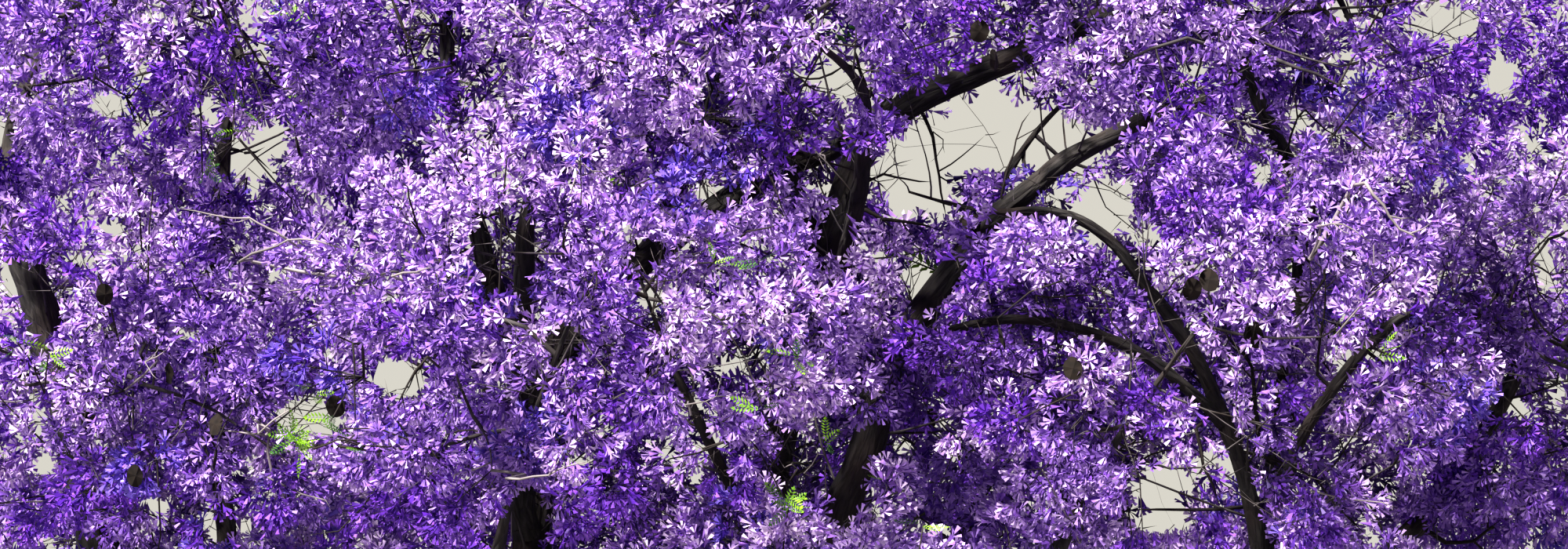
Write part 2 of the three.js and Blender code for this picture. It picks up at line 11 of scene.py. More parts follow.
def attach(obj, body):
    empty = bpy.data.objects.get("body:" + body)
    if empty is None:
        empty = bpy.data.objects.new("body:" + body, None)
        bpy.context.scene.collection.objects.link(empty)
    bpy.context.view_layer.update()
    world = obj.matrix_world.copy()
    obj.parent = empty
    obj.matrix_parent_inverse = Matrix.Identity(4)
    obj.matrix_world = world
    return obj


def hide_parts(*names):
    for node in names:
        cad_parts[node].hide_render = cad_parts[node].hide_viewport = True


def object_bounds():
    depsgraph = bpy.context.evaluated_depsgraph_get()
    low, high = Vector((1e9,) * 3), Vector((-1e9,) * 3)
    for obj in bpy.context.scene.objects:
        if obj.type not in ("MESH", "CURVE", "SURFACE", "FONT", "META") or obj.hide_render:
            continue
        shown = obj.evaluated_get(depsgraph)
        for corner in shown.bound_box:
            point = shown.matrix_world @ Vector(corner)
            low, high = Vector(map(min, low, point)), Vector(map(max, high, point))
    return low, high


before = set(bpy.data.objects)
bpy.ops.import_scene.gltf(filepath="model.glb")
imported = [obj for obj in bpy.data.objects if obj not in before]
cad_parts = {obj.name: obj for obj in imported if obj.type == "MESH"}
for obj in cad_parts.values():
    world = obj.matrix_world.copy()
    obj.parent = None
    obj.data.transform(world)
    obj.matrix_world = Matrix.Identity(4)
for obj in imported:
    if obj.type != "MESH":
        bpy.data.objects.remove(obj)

bl_info = {
    "name": "Jacaranda tree",
    "version": (1, 0, 0),
    "blender": (4, 5, 0),
    "location": "View3D > Sidebar > Jacaranda",
    "description": "Bark, twigs, blossom, leaves and pods of a jacaranda in full bloom",
    "category": "Object",
}

CAD_BOX = [list(corner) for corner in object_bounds()]
MASS_NODES = [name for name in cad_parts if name.startswith("mass_")]
METRE = 0.001
FULL_TURN = 2 * math.pi
GOLDEN_TURN = 2.399963

# Trunk, as in the frame.
FORK = (-90, 0, 1700)
TRUNK_RADIUS = 150
FLARE_RADIUS = 110
FLARE_HEIGHT = 240
FLARE_RIDGES = 5
RIDGE_DEPTH = 0.3
FOOT_CUT = 120
TRUNK_BOW = 25
TRUNK_CROWN_HEIGHT = 130
TRUNK_CROWN_RADIUS = 105
TRUNK_STEPS = 8
TRUNK_FINE_STEPS = 90
TRUNK_SIDES = 72
FOOT_GAP = 8
TOP_RISE = 40
LEAST_RISE = 0.5

# Limbs, as in the frame: carrier, how far along it, tip, bow, root radius, end radius.
LIMBS = {
    "bough_left": ("trunk", 0.96, (-1960, -240, 3130), (-60, 0, -190), 84, 64),
    "bough_left_upper": ("bough_left", 1, (-2190, -400, 4260), (20, 0, 40), 60, 50),
    "bough_left_top": ("bough_left_upper", 1, (-2140, -230, 4870), (-70, 0, 20), 34, 20),
    "bough_left_inner": ("bough_left", 0.72, (-1620, 250, 4860), (-120, 0, 60), 36, 21),
    "bough_mid": ("trunk", 0.99, (-665, 260, 3985), (-320, 20, 0), 74, 54),
    "bough_mid_upper": ("bough_mid", 1, (150, 300, 4570), (-40, 0, 60), 50, 30),
    "bough_mid_left": ("bough_mid", 0.9, (-1000, 160, 5060), (-90, 0, 40), 36, 20),
    "bough_front": ("trunk", 0.98, (285, -560, 3890), (-90, -60, 0), 58, 50),
    "bough_front_upper": ("bough_front", 1, (1205, -620, 4700), (-80, 0, 120), 48, 18),
    "bough_centre": ("trunk", 1, (175, 150, 4400), (-170, 60, 0), 76, 52),
    "bough_centre_right": ("bough_centre", 1, (466, 220, 4746), (-40, 0, 50), 47, 42),
    "bough_centre_far": ("bough_centre_right", 1, (1490, 330, 5170), (0, 0, 20), 40, 26),
    "bough_centre_left": ("bough_centre", 0.93, (-190, 30, 5480), (-110, 0, 60), 42, 22),
    "bough_right": ("trunk", 0.95, (1420, -350, 3130), (60, 0, -170), 78, 56),
    "bough_right_upper": ("bough_right", 1, (2200, 120, 4000), (60, -60, -60), 38, 22),
    "bough_right_inner": ("bough_right", 0.86, (1540, 190, 4440), (60, 40, 0), 40, 28),
    "bough_right_top": ("bough_right_inner", 1, (1310, 160, 5120), (-60, 0, 20), 25, 14),
    "limb_arch": ("bough_right", 0.97, (1010, -560, 4200), (110, 0, 30), 30, 18),
    "limb_arch_tip": ("limb_arch", 1, (640, -640, 4375), (20, 0, 70), 16.5, 13),
    "limb_low_arch": ("limb_arch", 0.6, (470, -760, 4045), (20, -30, 125), 18, 12),
    "limb_right": ("bough_right_upper", 0.12, (1730, -760, 4070), (-190, -60, 0), 22, 16),
    "limb_centre_low": ("bough_front", 0.62, (-290, -760, 3890), (40, 0, -60), 22, 14),
    "bough_low_left": ("bough_left", 0.3, (-800, -1450, 3300), (-60, -60, -110), 48, 28),
    "bough_low_right": ("bough_right", 0.3, (720, -1400, 3330), (60, -60, -110), 48, 28),
    "bough_front_left": ("bough_mid", 0.74, (-640, -720, 4780), (-60, -110, -40), 38, 22),
    "bough_front_high": ("bough_centre", 0.86, (230, -980, 4640), (30, -60, -110), 34, 21),
    "bough_back_left": ("bough_mid", 0.2, (-1080, 1380, 3560), (-60, 80, -120), 62, 34),
    "bough_back_right": ("bough_centre", 0.15, (900, 1440, 3520), (60, 80, -120), 62, 34),
    "bough_back_upper": ("bough_back_right", 0.5, (640, 1130, 4360), (20, 60, -60), 38, 22),
    "bough_back_top": ("bough_mid_upper", 0.35, (-180, 1180, 4900), (0, 90, -40), 34, 20),
}
LIMB_STEP = 520
LIMB_FINE_STEP = 28
LIMB_LEAST_STEPS = 12

# Tiers of masses, as in the frame: height, reach, count, first turn in degrees, half width, half height.
TIERS = (
    (3000, 1880, 6, 30, 900, 640),
    (3920, 2230, 8, 30, 900, 680),
    (4880, 1820, 7, 8, 900, 680),
    (5640, 880, 4, 60, 880, 660),
    (6000, 0, 1, 0, 700, 560),
)
TIP_MASSES = ("limb_arch_tip", "limb_low_arch", "limb_centre_low")
TIP_MASS_TWIGS = 5
TIP_MASS_REACH = 260
TIP_MASS_LIFT = 60
TIP_MASS_WIDE = 520
TIP_MASS_TALL = 440
CROWN_DEPTH = 0.92
TIER_JITTER = 130
APART = 4
SPACE_EDGE = 1.03

# Twigs and sprays of one mass, as in the frame.
STEM_STEPS = 3
STEM_FINE_STEPS = 24
STEM_LEAVE = 0.35
STEM_OVERRUN = 0.12
STEM_TIP_RADIUS = 15
STEM_LEAN = 0.5
STEM_TIP_SHARE = 0.9
STEM_SIDE_SHARE = 0.6
STEM_SIDE_RADIUS = 26
SIDE_FIRST = 0.3
SIDE_LAST = 0.95
SIDE_SPOTS = 14
HANG_COST = 1.2
SIDE_LEAST_RADIUS = 20
SIDE_LEAST_SPAN = 380
TWIGS = 8
SIDE_TWIGS = 2
TWIG_LAST = 0.97
TWIG_SPREAD = 0.5
TWIG_TURN_VARY = 0.7
TWIG_RADIUS = 16
TWIG_LEAST = 90
SIDE_TWIG_FIRST = 0.3
SIDE_TWIG_GAP = 0.35
SIDE_TWIG_VARY = 0.12
SIDE_TWIG_LONG = 0.8
SIDE_TWIG_RADIUS = 13
SIDE_TWIG_MOST = 420
SIDE_TWIG_LEAN = 0.6
BLOOM_LENGTH = 450
BLOOM_WIDTH = 350
BLOOM_LEAST = 0.8
BLOOM_VARY = 0.3
BLOOM_SUNK = 0.32
BLOOM_SIDE_ROOM = 0.3
BLOOM_LIFT = 0.35
BLOOM_SPACING = 262
POD_RADIUS = 62
POD_SPOT = 0.62
POD_SUNK = 0.9
POD_CLEAR = 260
POD_EVERY = 2
CROWN_SEED = 1907
MASS_SEED = 101
TIP_MASS_SEED = 50021
SEED_STEP = 7919

# Open lanes, as in the frame: middle x and z, half width, half height, seen from 20 m in front.
VIEW_DISTANCE = 20000
VIEW_HEIGHT = 4200
LANES = np.array((
    (700, 4500, 360, 215), (1440, 4465, 90, 95), (1780, 4930, 190, 80), (1130, 3540, 130, 100),
    (-1800, 4610, 260, 135), (-2080, 3670, 220, 130), (-1290, 3790, 140, 90), (-115, 4245, 110, 75),
    (-560, 3680, 90, 80),
), float)

# A pixel of the photograph in millimetres on the plane of the trunk, and the photograph's middle.
PIXEL = 2.3
MIDDLE_ACROSS = 1000
MIDDLE_DOWN = 350
# Openings with sky behind, in the photograph's pixels: middle, half width, half height.
OPENINGS = np.array((
    (8, 165, 14, 34), (138, 135, 27, 18), (265, 138, 19, 19), (346, 176, 30, 30), (300, 208, 34, 18),
    (312, 18, 14, 20), (334, 74, 12, 22), (92, 330, 13, 10), (148, 290, 14, 16), (350, 352, 14, 12),
    (402, 382, 12, 10), (425, 455, 14, 10), (1968, 345, 16, 32),
    (20, 355, 20, 25), (45, 447, 22, 7), (50, 530, 10, 26), (60, 592, 20, 15), (195, 640, 26, 10),
    (278, 674, 20, 22), (398, 530, 52, 30), (512, 480, 38, 28), (240, 425, 20, 12), (735, 585, 27, 13),
    (770, 540, 10, 20), (965, 312, 18, 10), (878, 310, 8, 14), (1150, 566, 13, 18), (1065, 98, 23, 33),
    (1165, 215, 44, 60), (1168, 262, 40, 20), (1258, 165, 66, 58), (1345, 182, 52, 44), (1408, 268, 40, 44),
    (1465, 298, 24, 22), (1175, 354, 26, 30), (1525, 85, 26, 12), (1652, 152, 11, 18), (1608, 224, 17, 19),
    (1640, 232, 8, 34), (1720, 16, 28, 9), (1846, 30, 44, 28), (1705, 72, 24, 10), (1763, 88, 5, 20),
    (1817, 78, 7, 12), (1922, 90, 16, 19), (1650, 342, 10, 17), (1656, 385, 12, 20), (1722, 326, 13, 8),
    (1757, 452, 17, 12), (1930, 520, 22, 14), (1986, 510, 15, 12), (1484, 616, 50, 26), (1482, 668, 46, 18),
    (1206, 540, 20, 9), (1116, 650, 10, 16), (1168, 672, 18, 11),
), float)
# Dark hollows, where the near blossom stands apart and the inside of the crown shows.
HOLLOWS = np.array((
    (650, 316, 50, 56), (540, 50, 46, 34), (720, 435, 24, 28), (950, 455, 36, 30), (1020, 600, 32, 44),
    (672, 660, 32, 42), (680, 502, 18, 18), (1975, 500, 20, 50), (1455, 570, 40, 22), (60, 372, 34, 38),
    (905, 245, 24, 24), (920, 135, 20, 24), (1035, 205, 30, 14), (832, 385, 16, 34), (1095, 225, 26, 30),
    (80, 690, 36, 14),
), float)
HOLLOW_DEPTH = 150
HOLLOW_TWIGS = 6
# A twig in a hollow: the part of it where it starts, its run across and down in pixels, how far back it is,
# # the share painted pale as sunlit twigs (painted light), and its radius.
HOLLOW_PART = (-0.8, 0.8)
HOLLOW_ACROSS = (-30, 30)
HOLLOW_DOWN = (-34, 14)
HOLLOW_BACK = (-200, 250)
HOLLOW_PALE = 0.4
HOLLOW_RADII = (2.2, 3.8)
# How far round a hollow the sprays seen behind it are dealt the painted shade tint.
HOLLOW_SHADE_EDGE = 1.5

# Bare twigs in plain sight: how far back they stand, radius at the root, and their bends in the photograph.
BARE_TWIGS = (
    (200, 7, ((1178, 147), (1190, 175), (1194, 204), (1200, 245), (1207, 277))),
    (190, 3.5, ((1198, 218), (1228, 198), (1257, 172))),
    (190, 3, ((1190, 168), (1203, 178), (1205, 196))),
    (-600, 4.5, ((1277, 250), (1285, 215), (1296, 178), (1316, 140))),
    (120, 9, ((1105, 268), (1150, 282), (1198, 293))),
    (150, 6, ((1089, 238), (1127, 222), (1155, 228), (1190, 232))),
    (150, 3, ((1127, 222), (1140, 210), (1165, 203))),
    (-690, 5, ((1322, 377), (1360, 378), (1404, 377))),
    (-690, 4, ((1346, 410), (1350, 445), (1353, 475))),
    (-480, 8, ((1525, 545), (1535, 595), (1557, 650))),
    (-450, 6, ((1580, 575), (1630, 588), (1679, 611), (1700, 640), (1749, 688))),
    (-450, 8, ((1605, 545), (1600, 500), (1597, 469), (1575, 440), (1562, 420))),
    (-470, 3.5, ((1597, 472), (1640, 478), (1685, 476))),
    (-690, 5.5, ((1680, 478), (1684, 430), (1690, 390), (1690, 345))),
    (-690, 5.5, ((1690, 355), (1665, 392), (1645, 410))),
    (-480, 4, ((1690, 605), (1720, 565), (1740, 535), (1768, 495))),
    (-400, 8, ((1600, 645), (1515, 650), (1437, 650))),
    (-200, 10, ((1793, 669), (1844, 692), (1880, 690), (1915, 662))),
    (170, 6, ((1625, 168), (1600, 162), (1577, 154))),
    (170, 5, ((1640, 205), (1655, 150), (1650, 112))),
    (170, 4, ((1665, 140), (1690, 165), (1718, 183))),
    (250, 7, ((1590, 15), (1685, 12), (1760, 8), (1830, 2))),
    (200, 5, ((304, 70), (332, 64), (354, 92))),
    (-300, 6, ((30, 110), (80, 105), (120, 98), (160, 122), (180, 170))),
    (-300, 4, ((165, 125), (178, 108), (187, 88))),
    (200, 6, ((288, 158), (312, 185), (348, 220))),
    (190, 11, ((276, 195), (295, 190), (312, 195))),
    (250, 9, ((937, 160), (900, 148), (903, 125), (911, 103))),
    (150, 5, ((1075, 85), (1045, 100), (1020, 98), (1000, 85))),
    (150, 4, ((1020, 98), (1040, 115), (1075, 122))),
    (100, 9, ((1108, 125), (1096, 88), (1088, 58))),
    (100, 6, ((640, 270), (650, 300), (632, 325))),
    (100, 5, ((690, 335), (675, 320), (660, 300))),
    (100, 7, ((620, 365), (640, 345), (660, 340))),
    (-100, 7, ((1110, 547), (1160, 552), (1217, 548))),
    (-100, 4, ((1105, 552), (1125, 566), (1150, 568))),
    (0, 6, ((1010, 590), (1000, 560), (985, 545))),
    (0, 4, ((1040, 590), (1020, 605), (1000, 600))),
    (100, 7, ((498, -6), (512, 30), (524, 62), (532, 100))),
    (100, 5, ((552, 30), (540, 60), (528, 82))),
    (-200, 6, ((2004, 292), (1975, 305), (1952, 335), (1962, 372), (1980, 392))),
    (-200, 4.5, ((1952, 335), (1978, 350), (2002, 345))),
    (-200, 5, ((1999, 440), (1968, 418), (1952, 392), (1948, 365))),
    (-100, 5, ((352, 109), (328, 75), (306, 36), (296, -4))),
    (-100, 3.5, ((160, 122), (178, 150), (182, 168))),
    (-200, 4, ((545, 455), (528, 478), (515, 505))),
)
# Twigs that lie on the blossom: radius at the root, and their bends in the photograph.
FRONT_TWIGS = (
    (4, ((570, 85), (520, 90), (482, 98), (492, 130), (522, 165))),
    (4.5, ((400, 572), (430, 561), (470, 561))),
    (4.5, ((450, 440), (452, 490), (453, 554))),
    (5, ((545, 455), (520, 490), (505, 520))),
    (4, ((1163, 384), (1158, 368), (1150, 355))),
    (3.5, ((1795, 202), (1820, 208), (1845, 214))),
    (3.5, ((1808, 488), (1830, 500), (1860, 506))),
)
# Twigs on the blossom painted pale as sunlit twigs (painted light), given like those above.
SUNLIT_TWIGS = (
    (5, ((306, 333), (340, 318), (367, 306), (400, 306), (446, 320))),
    (4.5, ((367, 306), (340, 290), (319, 278), (271, 274), (223, 265))),
    (7, ((1742, 233), (1765, 262), (1785, 292), (1812, 306))),
    (4.5, ((330, 553), (300, 550), (265, 549))),
    (4.5, ((330, 553), (348, 536), (380, 516))),
    (4.5, ((663, 611), (700, 606), (725, 594), (749, 589))),
    (5, ((500, 352), (530, 347), (556, 340))),
    (3.5, ((185, 462), (200, 455), (212, 446))),
    (4, ((1700, 285), (1725, 292), (1752, 312))),
    (3.5, ((1925, 284), (1945, 278), (1975, 265))),
    (3.5, ((875, 516), (900, 512), (930, 505))),
    (3.5, ((1577, 153), (1605, 160), (1625, 165))),
    (3.5, ((735, 205), (755, 218), (780, 217))),
)
# How crooked bare twigs are and how thin they end, and the twiglets on them: their least number and one more
# than their most, lean, lengths, lift and end radius.
BARE_CROOK = 0.035
BARE_END = 0.35
TWIGLETS = (1, 4)
TWIGLET_LEAN = 0.8
TWIGLET_LENGTHS = (35, 120)
TWIGLET_LIFT = 0.15
TWIGLET_END = 0.8
# Bare twigs that stand out past the sprays, and the radii of those that carry a pod or a leaf.
PAST_EVERY = 4
# Every so many of them are painted pale as sunlit twigs (painted light).
PAST_PALE_EVERY = 4
PAST_LEAN = 0.45
PAST_LENGTHS = (230, 380)
PAST_SIGHT = 5
PAST_RADII = (2.8, 2.4, 1.9, 1.0)
REACH_RADII = (2.8, 2.3, 1.9, 1.2)
# Places looked at for gaps, the half width of each look in millimetres, and the flowers that fill it.
CLOSE_GRID = [(x, y) for x in range(15, 2000, 36) for y in range(10, 700, 36)]
CLOSE_REACH = 48
CLOSE_LEAST = 7
CLOSE_EDGE = 1.15
# How a spray that closes a gap stands off its spot: in depth, leaning up, and past it.
CLOSE_SCATTER = 60
CLOSE_LIFT = np.array((0, 0, 0.25))
CLOSE_PAST = 0.35
COVER_GRID = [(x, y) for x in range(8, 2000, 22) for y in range(6, 700, 22)]
COVER_REACH = 36
COVER_LEAST = 4
COVER_EDGE = 1.1
COVER_DEPTH = 400
# How a spray that covers a limb stands: its margin round the limb, how far in front, how clear of what is
# kept in sight, and how it faces.
COVER_MARGIN = 6
COVER_STAND = 0.75
COVER_SIGHT = 30
COVER_WAY = np.array((0, -1, 0.45))
COVER_VARY = 0.25
# Pods in the photograph's pixels, those that show their flat side apart, and young leaves.
POD_SPOTS = (
    (1265, 75), (1522, 367), (375, 187), (125, 376), (217, 476), (1272, 431), (1366, 467), (278, 540),
    (278, 585), (172, 605),
)
ROUND_PODS = ((1255, 38), (1537, 355), (425, 517))
LEAF_SPOTS = (
    (366, 556, 6), (375, 565, 9), (384, 574, 9), (394, 496, 2), (404, 505, 2), (422, 538, 3),
    (432, 548, 2), (462, 569, 2), (972, 519, 3), (1006, 647, 8), (1000, 636, 5), (1018, 456, 6),
    (1051, 563, 4), (1102, 603, 1), (1178, 669, 3), (910, 336, 4), (968, 334, 4), (312, 137, 4),
    (297, 166, 3), (258, 221, 4), (22, 438, 3), (62, 452, 3), (1760, 450, 5),
)
# Where blossom is looked for round a pod, a leaf or a twig that lies on it, and how far each stands off it.
FRONT_LOOK = -1000
FRONT_REACH = 75
FRONT_TWIG_OFF = 20
FRONT_TWIG_DEEP = 380
POD_OFF = 35
LEAF_OFF = 40
OTHER_LEAVES = 130
OTHER_PODS = 40
PODS_HERE = 3
POD_SWING = 0.1
# How pods and leaves tilt and scatter.
POD_TILT = 0.16
POD_SCATTER = 14
OTHER_POD_SIZES = (0.85, 1.1)
LEAF_SCATTER = 7
LEAF_TILT = 0.7
FRONT_LEAF_SIZES = (0.34, 0.6)
OTHER_LEAF_SIZES = (1.0, 1.7)
LEAF_LENGTH = 120
LEAF_CURVE = 0.10
LEAF_PAIRS = 7
PINNA_LENGTH = 34
PINNA_WIDTH = 12
POD_HALF_WIDTH = 26
POD_HALF_HEIGHT = 31
POD_HALF_THICKNESS = 5
POD_STALK = 24
POD_RIM = 14
POD_WAVE = 0.035
POD_TWIST = 2.2

# Finer growth: sprays of blossom, their stalks and the twigs that carry them.
SPRAY_LENGTH = 285
SPRAY_RADIUS = 118
SPRAY_VARY = 0.2
SPRAY_BRANCHLETS = 7
SPRAY_LEAST_SHARE = 0.25
SPRAY_FOOT = 0.92
# A flower's place for openings: how far along it, how uneven their edge is, and its margin from what is seen.
HEAD_SHARE = 0.6
FLOWER_EDGE = 0.25
FLOWER_MARGIN = 4
# Where finer twigs start: stations left bare at a root, and the radii of what holds a spray.
BARE_STATIONS = 8
STEM_HOLD_RADIUS = 7
LIMB_HOLD_RADIUS = 6
MAIN_TWIG_RADIUS = 6.5
OTHER_TWIG_RADIUS = 5.0
TWIG_MARKS = np.array((0, 0.25, 0.5, 0.75, 1))
TWIG_TIP_RUN = 40
# A twig of a mass: its taper, bow and crook, where along it openings and kept limbs are looked for (openings
# from one of those spots on), and where finer twigs start on it.
TWIG_TAPER = np.array((1.25, 1, 0.85, 0.7, 0.5, 0.2))
TWIG_BOW = 0.07
TWIG_BOW_SHARES = np.array((0.7, 1, 0.7))[:, None]
TWIG_CROOK = 0.03
TWIG_LOOKS = np.linspace(0.1, 1, 14)
TWIG_LOOKS_INSIDE = 6
TWIG_SIGHT = 8
TWIG_HOLD_FIRST = 0.15
TWIG_HOLD_STEP = 45
TWIG_HOLD_SHARE = 0.8
# Flowers on a branchlet and their size, for the sprays at the front at eye height, and for the rest.
FRONT_FLOWERS = (7, 1.0)
OTHER_FLOWERS = (4, 1.4)
FRONT_BOX = ((-2800, -4000, 3050), (2800, 600, 5300))
SPRAY_SPACING = 192
LIMB_SPRAY_STEP = 75
LIMB_SPRAY_FIRST = 0.3
LIMB_SPRAY_LAST = 0.98
LIMB_SPRAY_REACH = (40, 300)
LIMB_SPRAY_LEAN = 0.3
LIMB_SPRAY_LIFT = 0.3
# How far out in the crown a limb's spray may stand, how close to others, and its gap from other wood.
LIMB_SPRAY_EDGE = 0.9
LIMB_SPRAY_CLOSER = 0.9
LIMB_SPRAY_GAP = 10
LIMB_SPRAY_FOOT = 3150
CROWN_FOOT = 2750
SPRAY_MARGIN = 20
# The share of the frame's box by which a flower may stand out of it.
BOX_SLACK = 0.012
TIP_INSET = 45
# Shells of sprays in a mass: share of its size, spots tried, and how much wider they stand apart.
SHELLS = ((0.90, 150, 1.0), (0.68, 80, 1.2))
SHELL_REACH = (-0.1, 0.02)
SHELL_SCATTER = 25
SHELL_AWAY = 0.6
SHELL_LIFT = 0.35
# Sprays on a bloom of the frame: how close the one at its tip may stand, and where those round it end.
TIP_CLOSER = 0.8
RIM_OUT = 0.42
RIM_UP = 0.12
RIM_LEAN = 0.8
# How far back a spray is looked at before it is grown, and how uneven the openings' edges are for it.
SPRAY_BODY = 0.8
SPRAY_EDGE = 0.3
CROWN_CENTRE = np.array((0, 0, 4150.0))
CROWN_RADII = np.array((2900, 2700, 2300.0))
CROWN_HOLLOW = 0.42
OTHER_HOLLOW = 0.66
LIMB_CLEAR = 25
# The fine twig to a spray: its radius, the shares of it by reach, the most of its hold's radius, its taper
# and bow. Then the stalk through the spray, which bends once and stops short of the end, and its branchlets.
FINE_RADIUS = 3.6
FINE_LEAST = 0.7
FINE_MOST = 1.35
FINE_REACH = 500
FINE_OF_HOLD = 0.85
FINE_TAPER = np.array((0.86, 0.74, 0.6))
FINE_BOW = 0.12
RACHIS_BEND = 0.55
RACHIS_CROOK = 9
RACHIS_SHORT = 30
RACHIS_SHARE = 0.5
RACHIS_END = 1.4
BRANCHLET_RADIUS = 1.9
BRANCHLET_END = 1.0
FINE_SEED = 7
# How spray tints are dealt: the size of random patches, the middle tint, the patches' strength, how much
# paler a spray is high on its mass as painted sunlight on the mass's top, and the random spread.
TONE_PATCH = 420
TONE_MIDDLE = 1.45
TONE_PATCH_STRENGTH = 2.0
SUNLIT_TOP_RISE = 0.9
TONE_VARY = 0.5
# How many tints deeper a spray is inside its mass and on a limb, as painted shade deep in the crown, and in a
# gap and over a limb.
INNER_SHADE_TONE = 1.3
INNER_REACH = 0.7
LIMB_SHADE_TONE = 1.6
GAP_TONE = 0.5
COVER_TONE = 0.2
TONE_PLACE_STRENGTH = 1.5
TONE_PLACE_KEEP = 0.3
# Patches of the crown with painted light and painted shade: blossom paler where sunlit and deeper where
# shaded, in the photograph's pixels, and by how many tints.
LIT_AND_SHADED_PLACES = np.array((
    (740, 110, 170, 90, -1.2), (150, 215, 110, 50, -1.2), (130, 300, 90, 36, -0.7), (665, 445, 85, 50, -0.9),
    (890, 380, 80, 50, -0.9), (1105, 325, 50, 45, -1.2), (1400, 85, 90, 60, -1.1), (1780, 130, 140, 70, -1.2),
    (1020, 510, 90, 40, -1.0), (60, 465, 60, 40, -0.8), (130, 535, 80, 40, -0.8), (960, 665, 100, 40, -1.0),
    (1250, 610, 130, 50, -0.6), (1420, 440, 60, 50, -0.4), (1800, 560, 70, 50, -0.7),
    (20, 250, 45, 80, 1.0), (290, 85, 60, 35, 0.8), (715, 300, 50, 40, 1.0), (935, 190, 70, 50, 1.0),
    (1225, 290, 50, 60, 1.4), (1170, 435, 70, 40, 1.4), (1340, 345, 70, 30, 1.0), (1475, 225, 40, 60, 0.9),
    (1870, 410, 60, 55, 1.6), (1800, 275, 50, 50, 0.6), (1910, 50, 80, 60, 0.9), (1640, 610, 90, 50, 0.9),
    (420, 640, 160, 60, 0.7), (790, 600, 70, 80, 0.7), (1540, 430, 50, 60, 0.5), (1900, 600, 60, 40, 0.5),
    (560, 60, 40, 60, 0.6), (250, 270, 60, 40, 0.6),
))
BLUE_SHARE = 0.05
DROOP = np.array((0, 0, -0.45))

FLOWER_LENGTH = 46
FLOWER_MOUTH = 7.5
TUBE_SIDES = 3
THROAT_SHARE = 0.66
THROAT_DEPTH = 0.86
LOBE_REACH = 17.5
LOBE_HALF_TURN = math.radians(18)
# Each lobe: reach of its two corners, and how high they stand, as shares of the flower's sizes.
LOBES = ((0.92, 1.0, 1.08), (1.0, 0.86, 1.0), (0.84, 0.98, 1.1), (0.96, 0.9, 0.96), (1.1, 1.02, 0.88))


def unit(v):
    """The vector, or each row of vectors, at length one."""
    return v / np.maximum(np.linalg.norm(v, axis=-1, keepdims=True), 1e-12)


def seeded(seed):
    """The frame's own generator of numbers from 0 to 1."""
    state = seed

    def draw():
        nonlocal state
        state = (state * 16807) % 2147483647
        return state / 2147483647

    return draw


def across(axis, angle):
    """A unit vector at right angles to an axis, turned about it by an angle."""
    helper = np.array((0, 0, 1.0)) if abs(axis[2]) < 0.9 else np.array((1.0, 0, 0))
    side = unit(np.cross(helper, axis))
    return side * math.cos(angle) + np.cross(axis, side) * math.sin(angle)


def bend(a, b, bow, steps):
    """The stations of a bend from a to b whose middle stands off the straight line by bow."""
    a, b = np.asarray(a, float), np.asarray(b, float)
    return curve(a, (a + b) / 2 + 2 * np.asarray(bow, float), b, steps)


def curve(a, control, b, steps):
    """The stations of a quadratic curve."""
    t = np.linspace(0, 1, steps + 1)[:, None]
    return (1 - t) ** 2 * a + 2 * (1 - t) * t * control + t ** 2 * b


def spot_on(spine, t):
    """The point at a fraction of a spine's stations."""
    place = t * (len(spine) - 1)
    i = min(len(spine) - 2, int(place))
    return spine[i] + (spine[i + 1] - spine[i]) * (place - i)


def heading_at(spine, i):
    """The heading of a spine at one of its stations."""
    return unit(spine[min(len(spine) - 1, i + 1)] - spine[max(0, i - 1)])


def stretch_distances(p1, q1, p2, q2):
    """The least distances between one straight stretch and each of many."""
    d1 = q1 - p1
    d2 = q2 - p2
    r = p1 - p2
    a = d1 @ d1
    e = np.einsum("ij,ij->i", d2, d2)
    f = np.einsum("ij,ij->i", d2, r)
    c = r @ d1
    b = d2 @ d1
    span = a * e - b * b
    s = np.where(span > 1e-9, np.clip((b * f - c * e) / np.where(span > 1e-9, span, 1), 0, 1), 0)
    t = (b * s + f) / e
    s = np.where(t < 0, np.clip(-c / a, 0, 1), np.where(t > 1, np.clip((b - c) / a, 0, 1), s))
    t = np.clip(t, 0, 1)
    return np.linalg.norm(p1 + s[:, None] * d1 - p2 - t[:, None] * d2, axis=1)


def spiral_heading(i, count, turn):
    """The heading to one of a number of spots spread evenly over a sphere."""
    level = 1 - 2 * (i + 0.5) / count
    flat = math.sqrt(1 - level * level)
    return np.array((flat * math.cos(turn), flat * math.sin(turn), level))


def spots_between(stations, marks, at):
    """Points along straight stretches between stations that stand at rising marks."""
    return np.stack([np.interp(at, marks, stations[:, k]) for k in range(3)], axis=1)


def run_along(spine):
    """How far along its spine each station stands."""
    return np.concatenate([[0], np.cumsum(np.linalg.norm(np.diff(spine, axis=0), axis=1))])


def on_plane(points):
    """Where points are seen on the upright plane of the trunk."""
    near = 1 + points[:, 1] / VIEW_DISTANCE
    return np.stack([points[:, 0] / near, VIEW_HEIGHT + (points[:, 2] - VIEW_HEIGHT) / near], axis=1)


def from_pixels(pixels, y):
    """The points at a distance back that are seen at pixels of the photograph."""
    pixels = np.atleast_2d(np.array(pixels, float))
    near = PIXEL * (1 + y / VIEW_DISTANCE)
    x = (pixels[:, 0] - MIDDLE_ACROSS) * near
    z = VIEW_HEIGHT + (MIDDLE_DOWN - pixels[:, 1]) * near
    return np.stack([x, np.full(len(pixels), float(y)), z], axis=1)


def in_lane(points):
    """Whether each point lies in one of the open lanes."""
    share = (on_plane(points)[:, None] - LANES[:, :2]) / LANES[:, 2:]
    return ((share ** 2).sum(axis=2) < 1).any(axis=1)


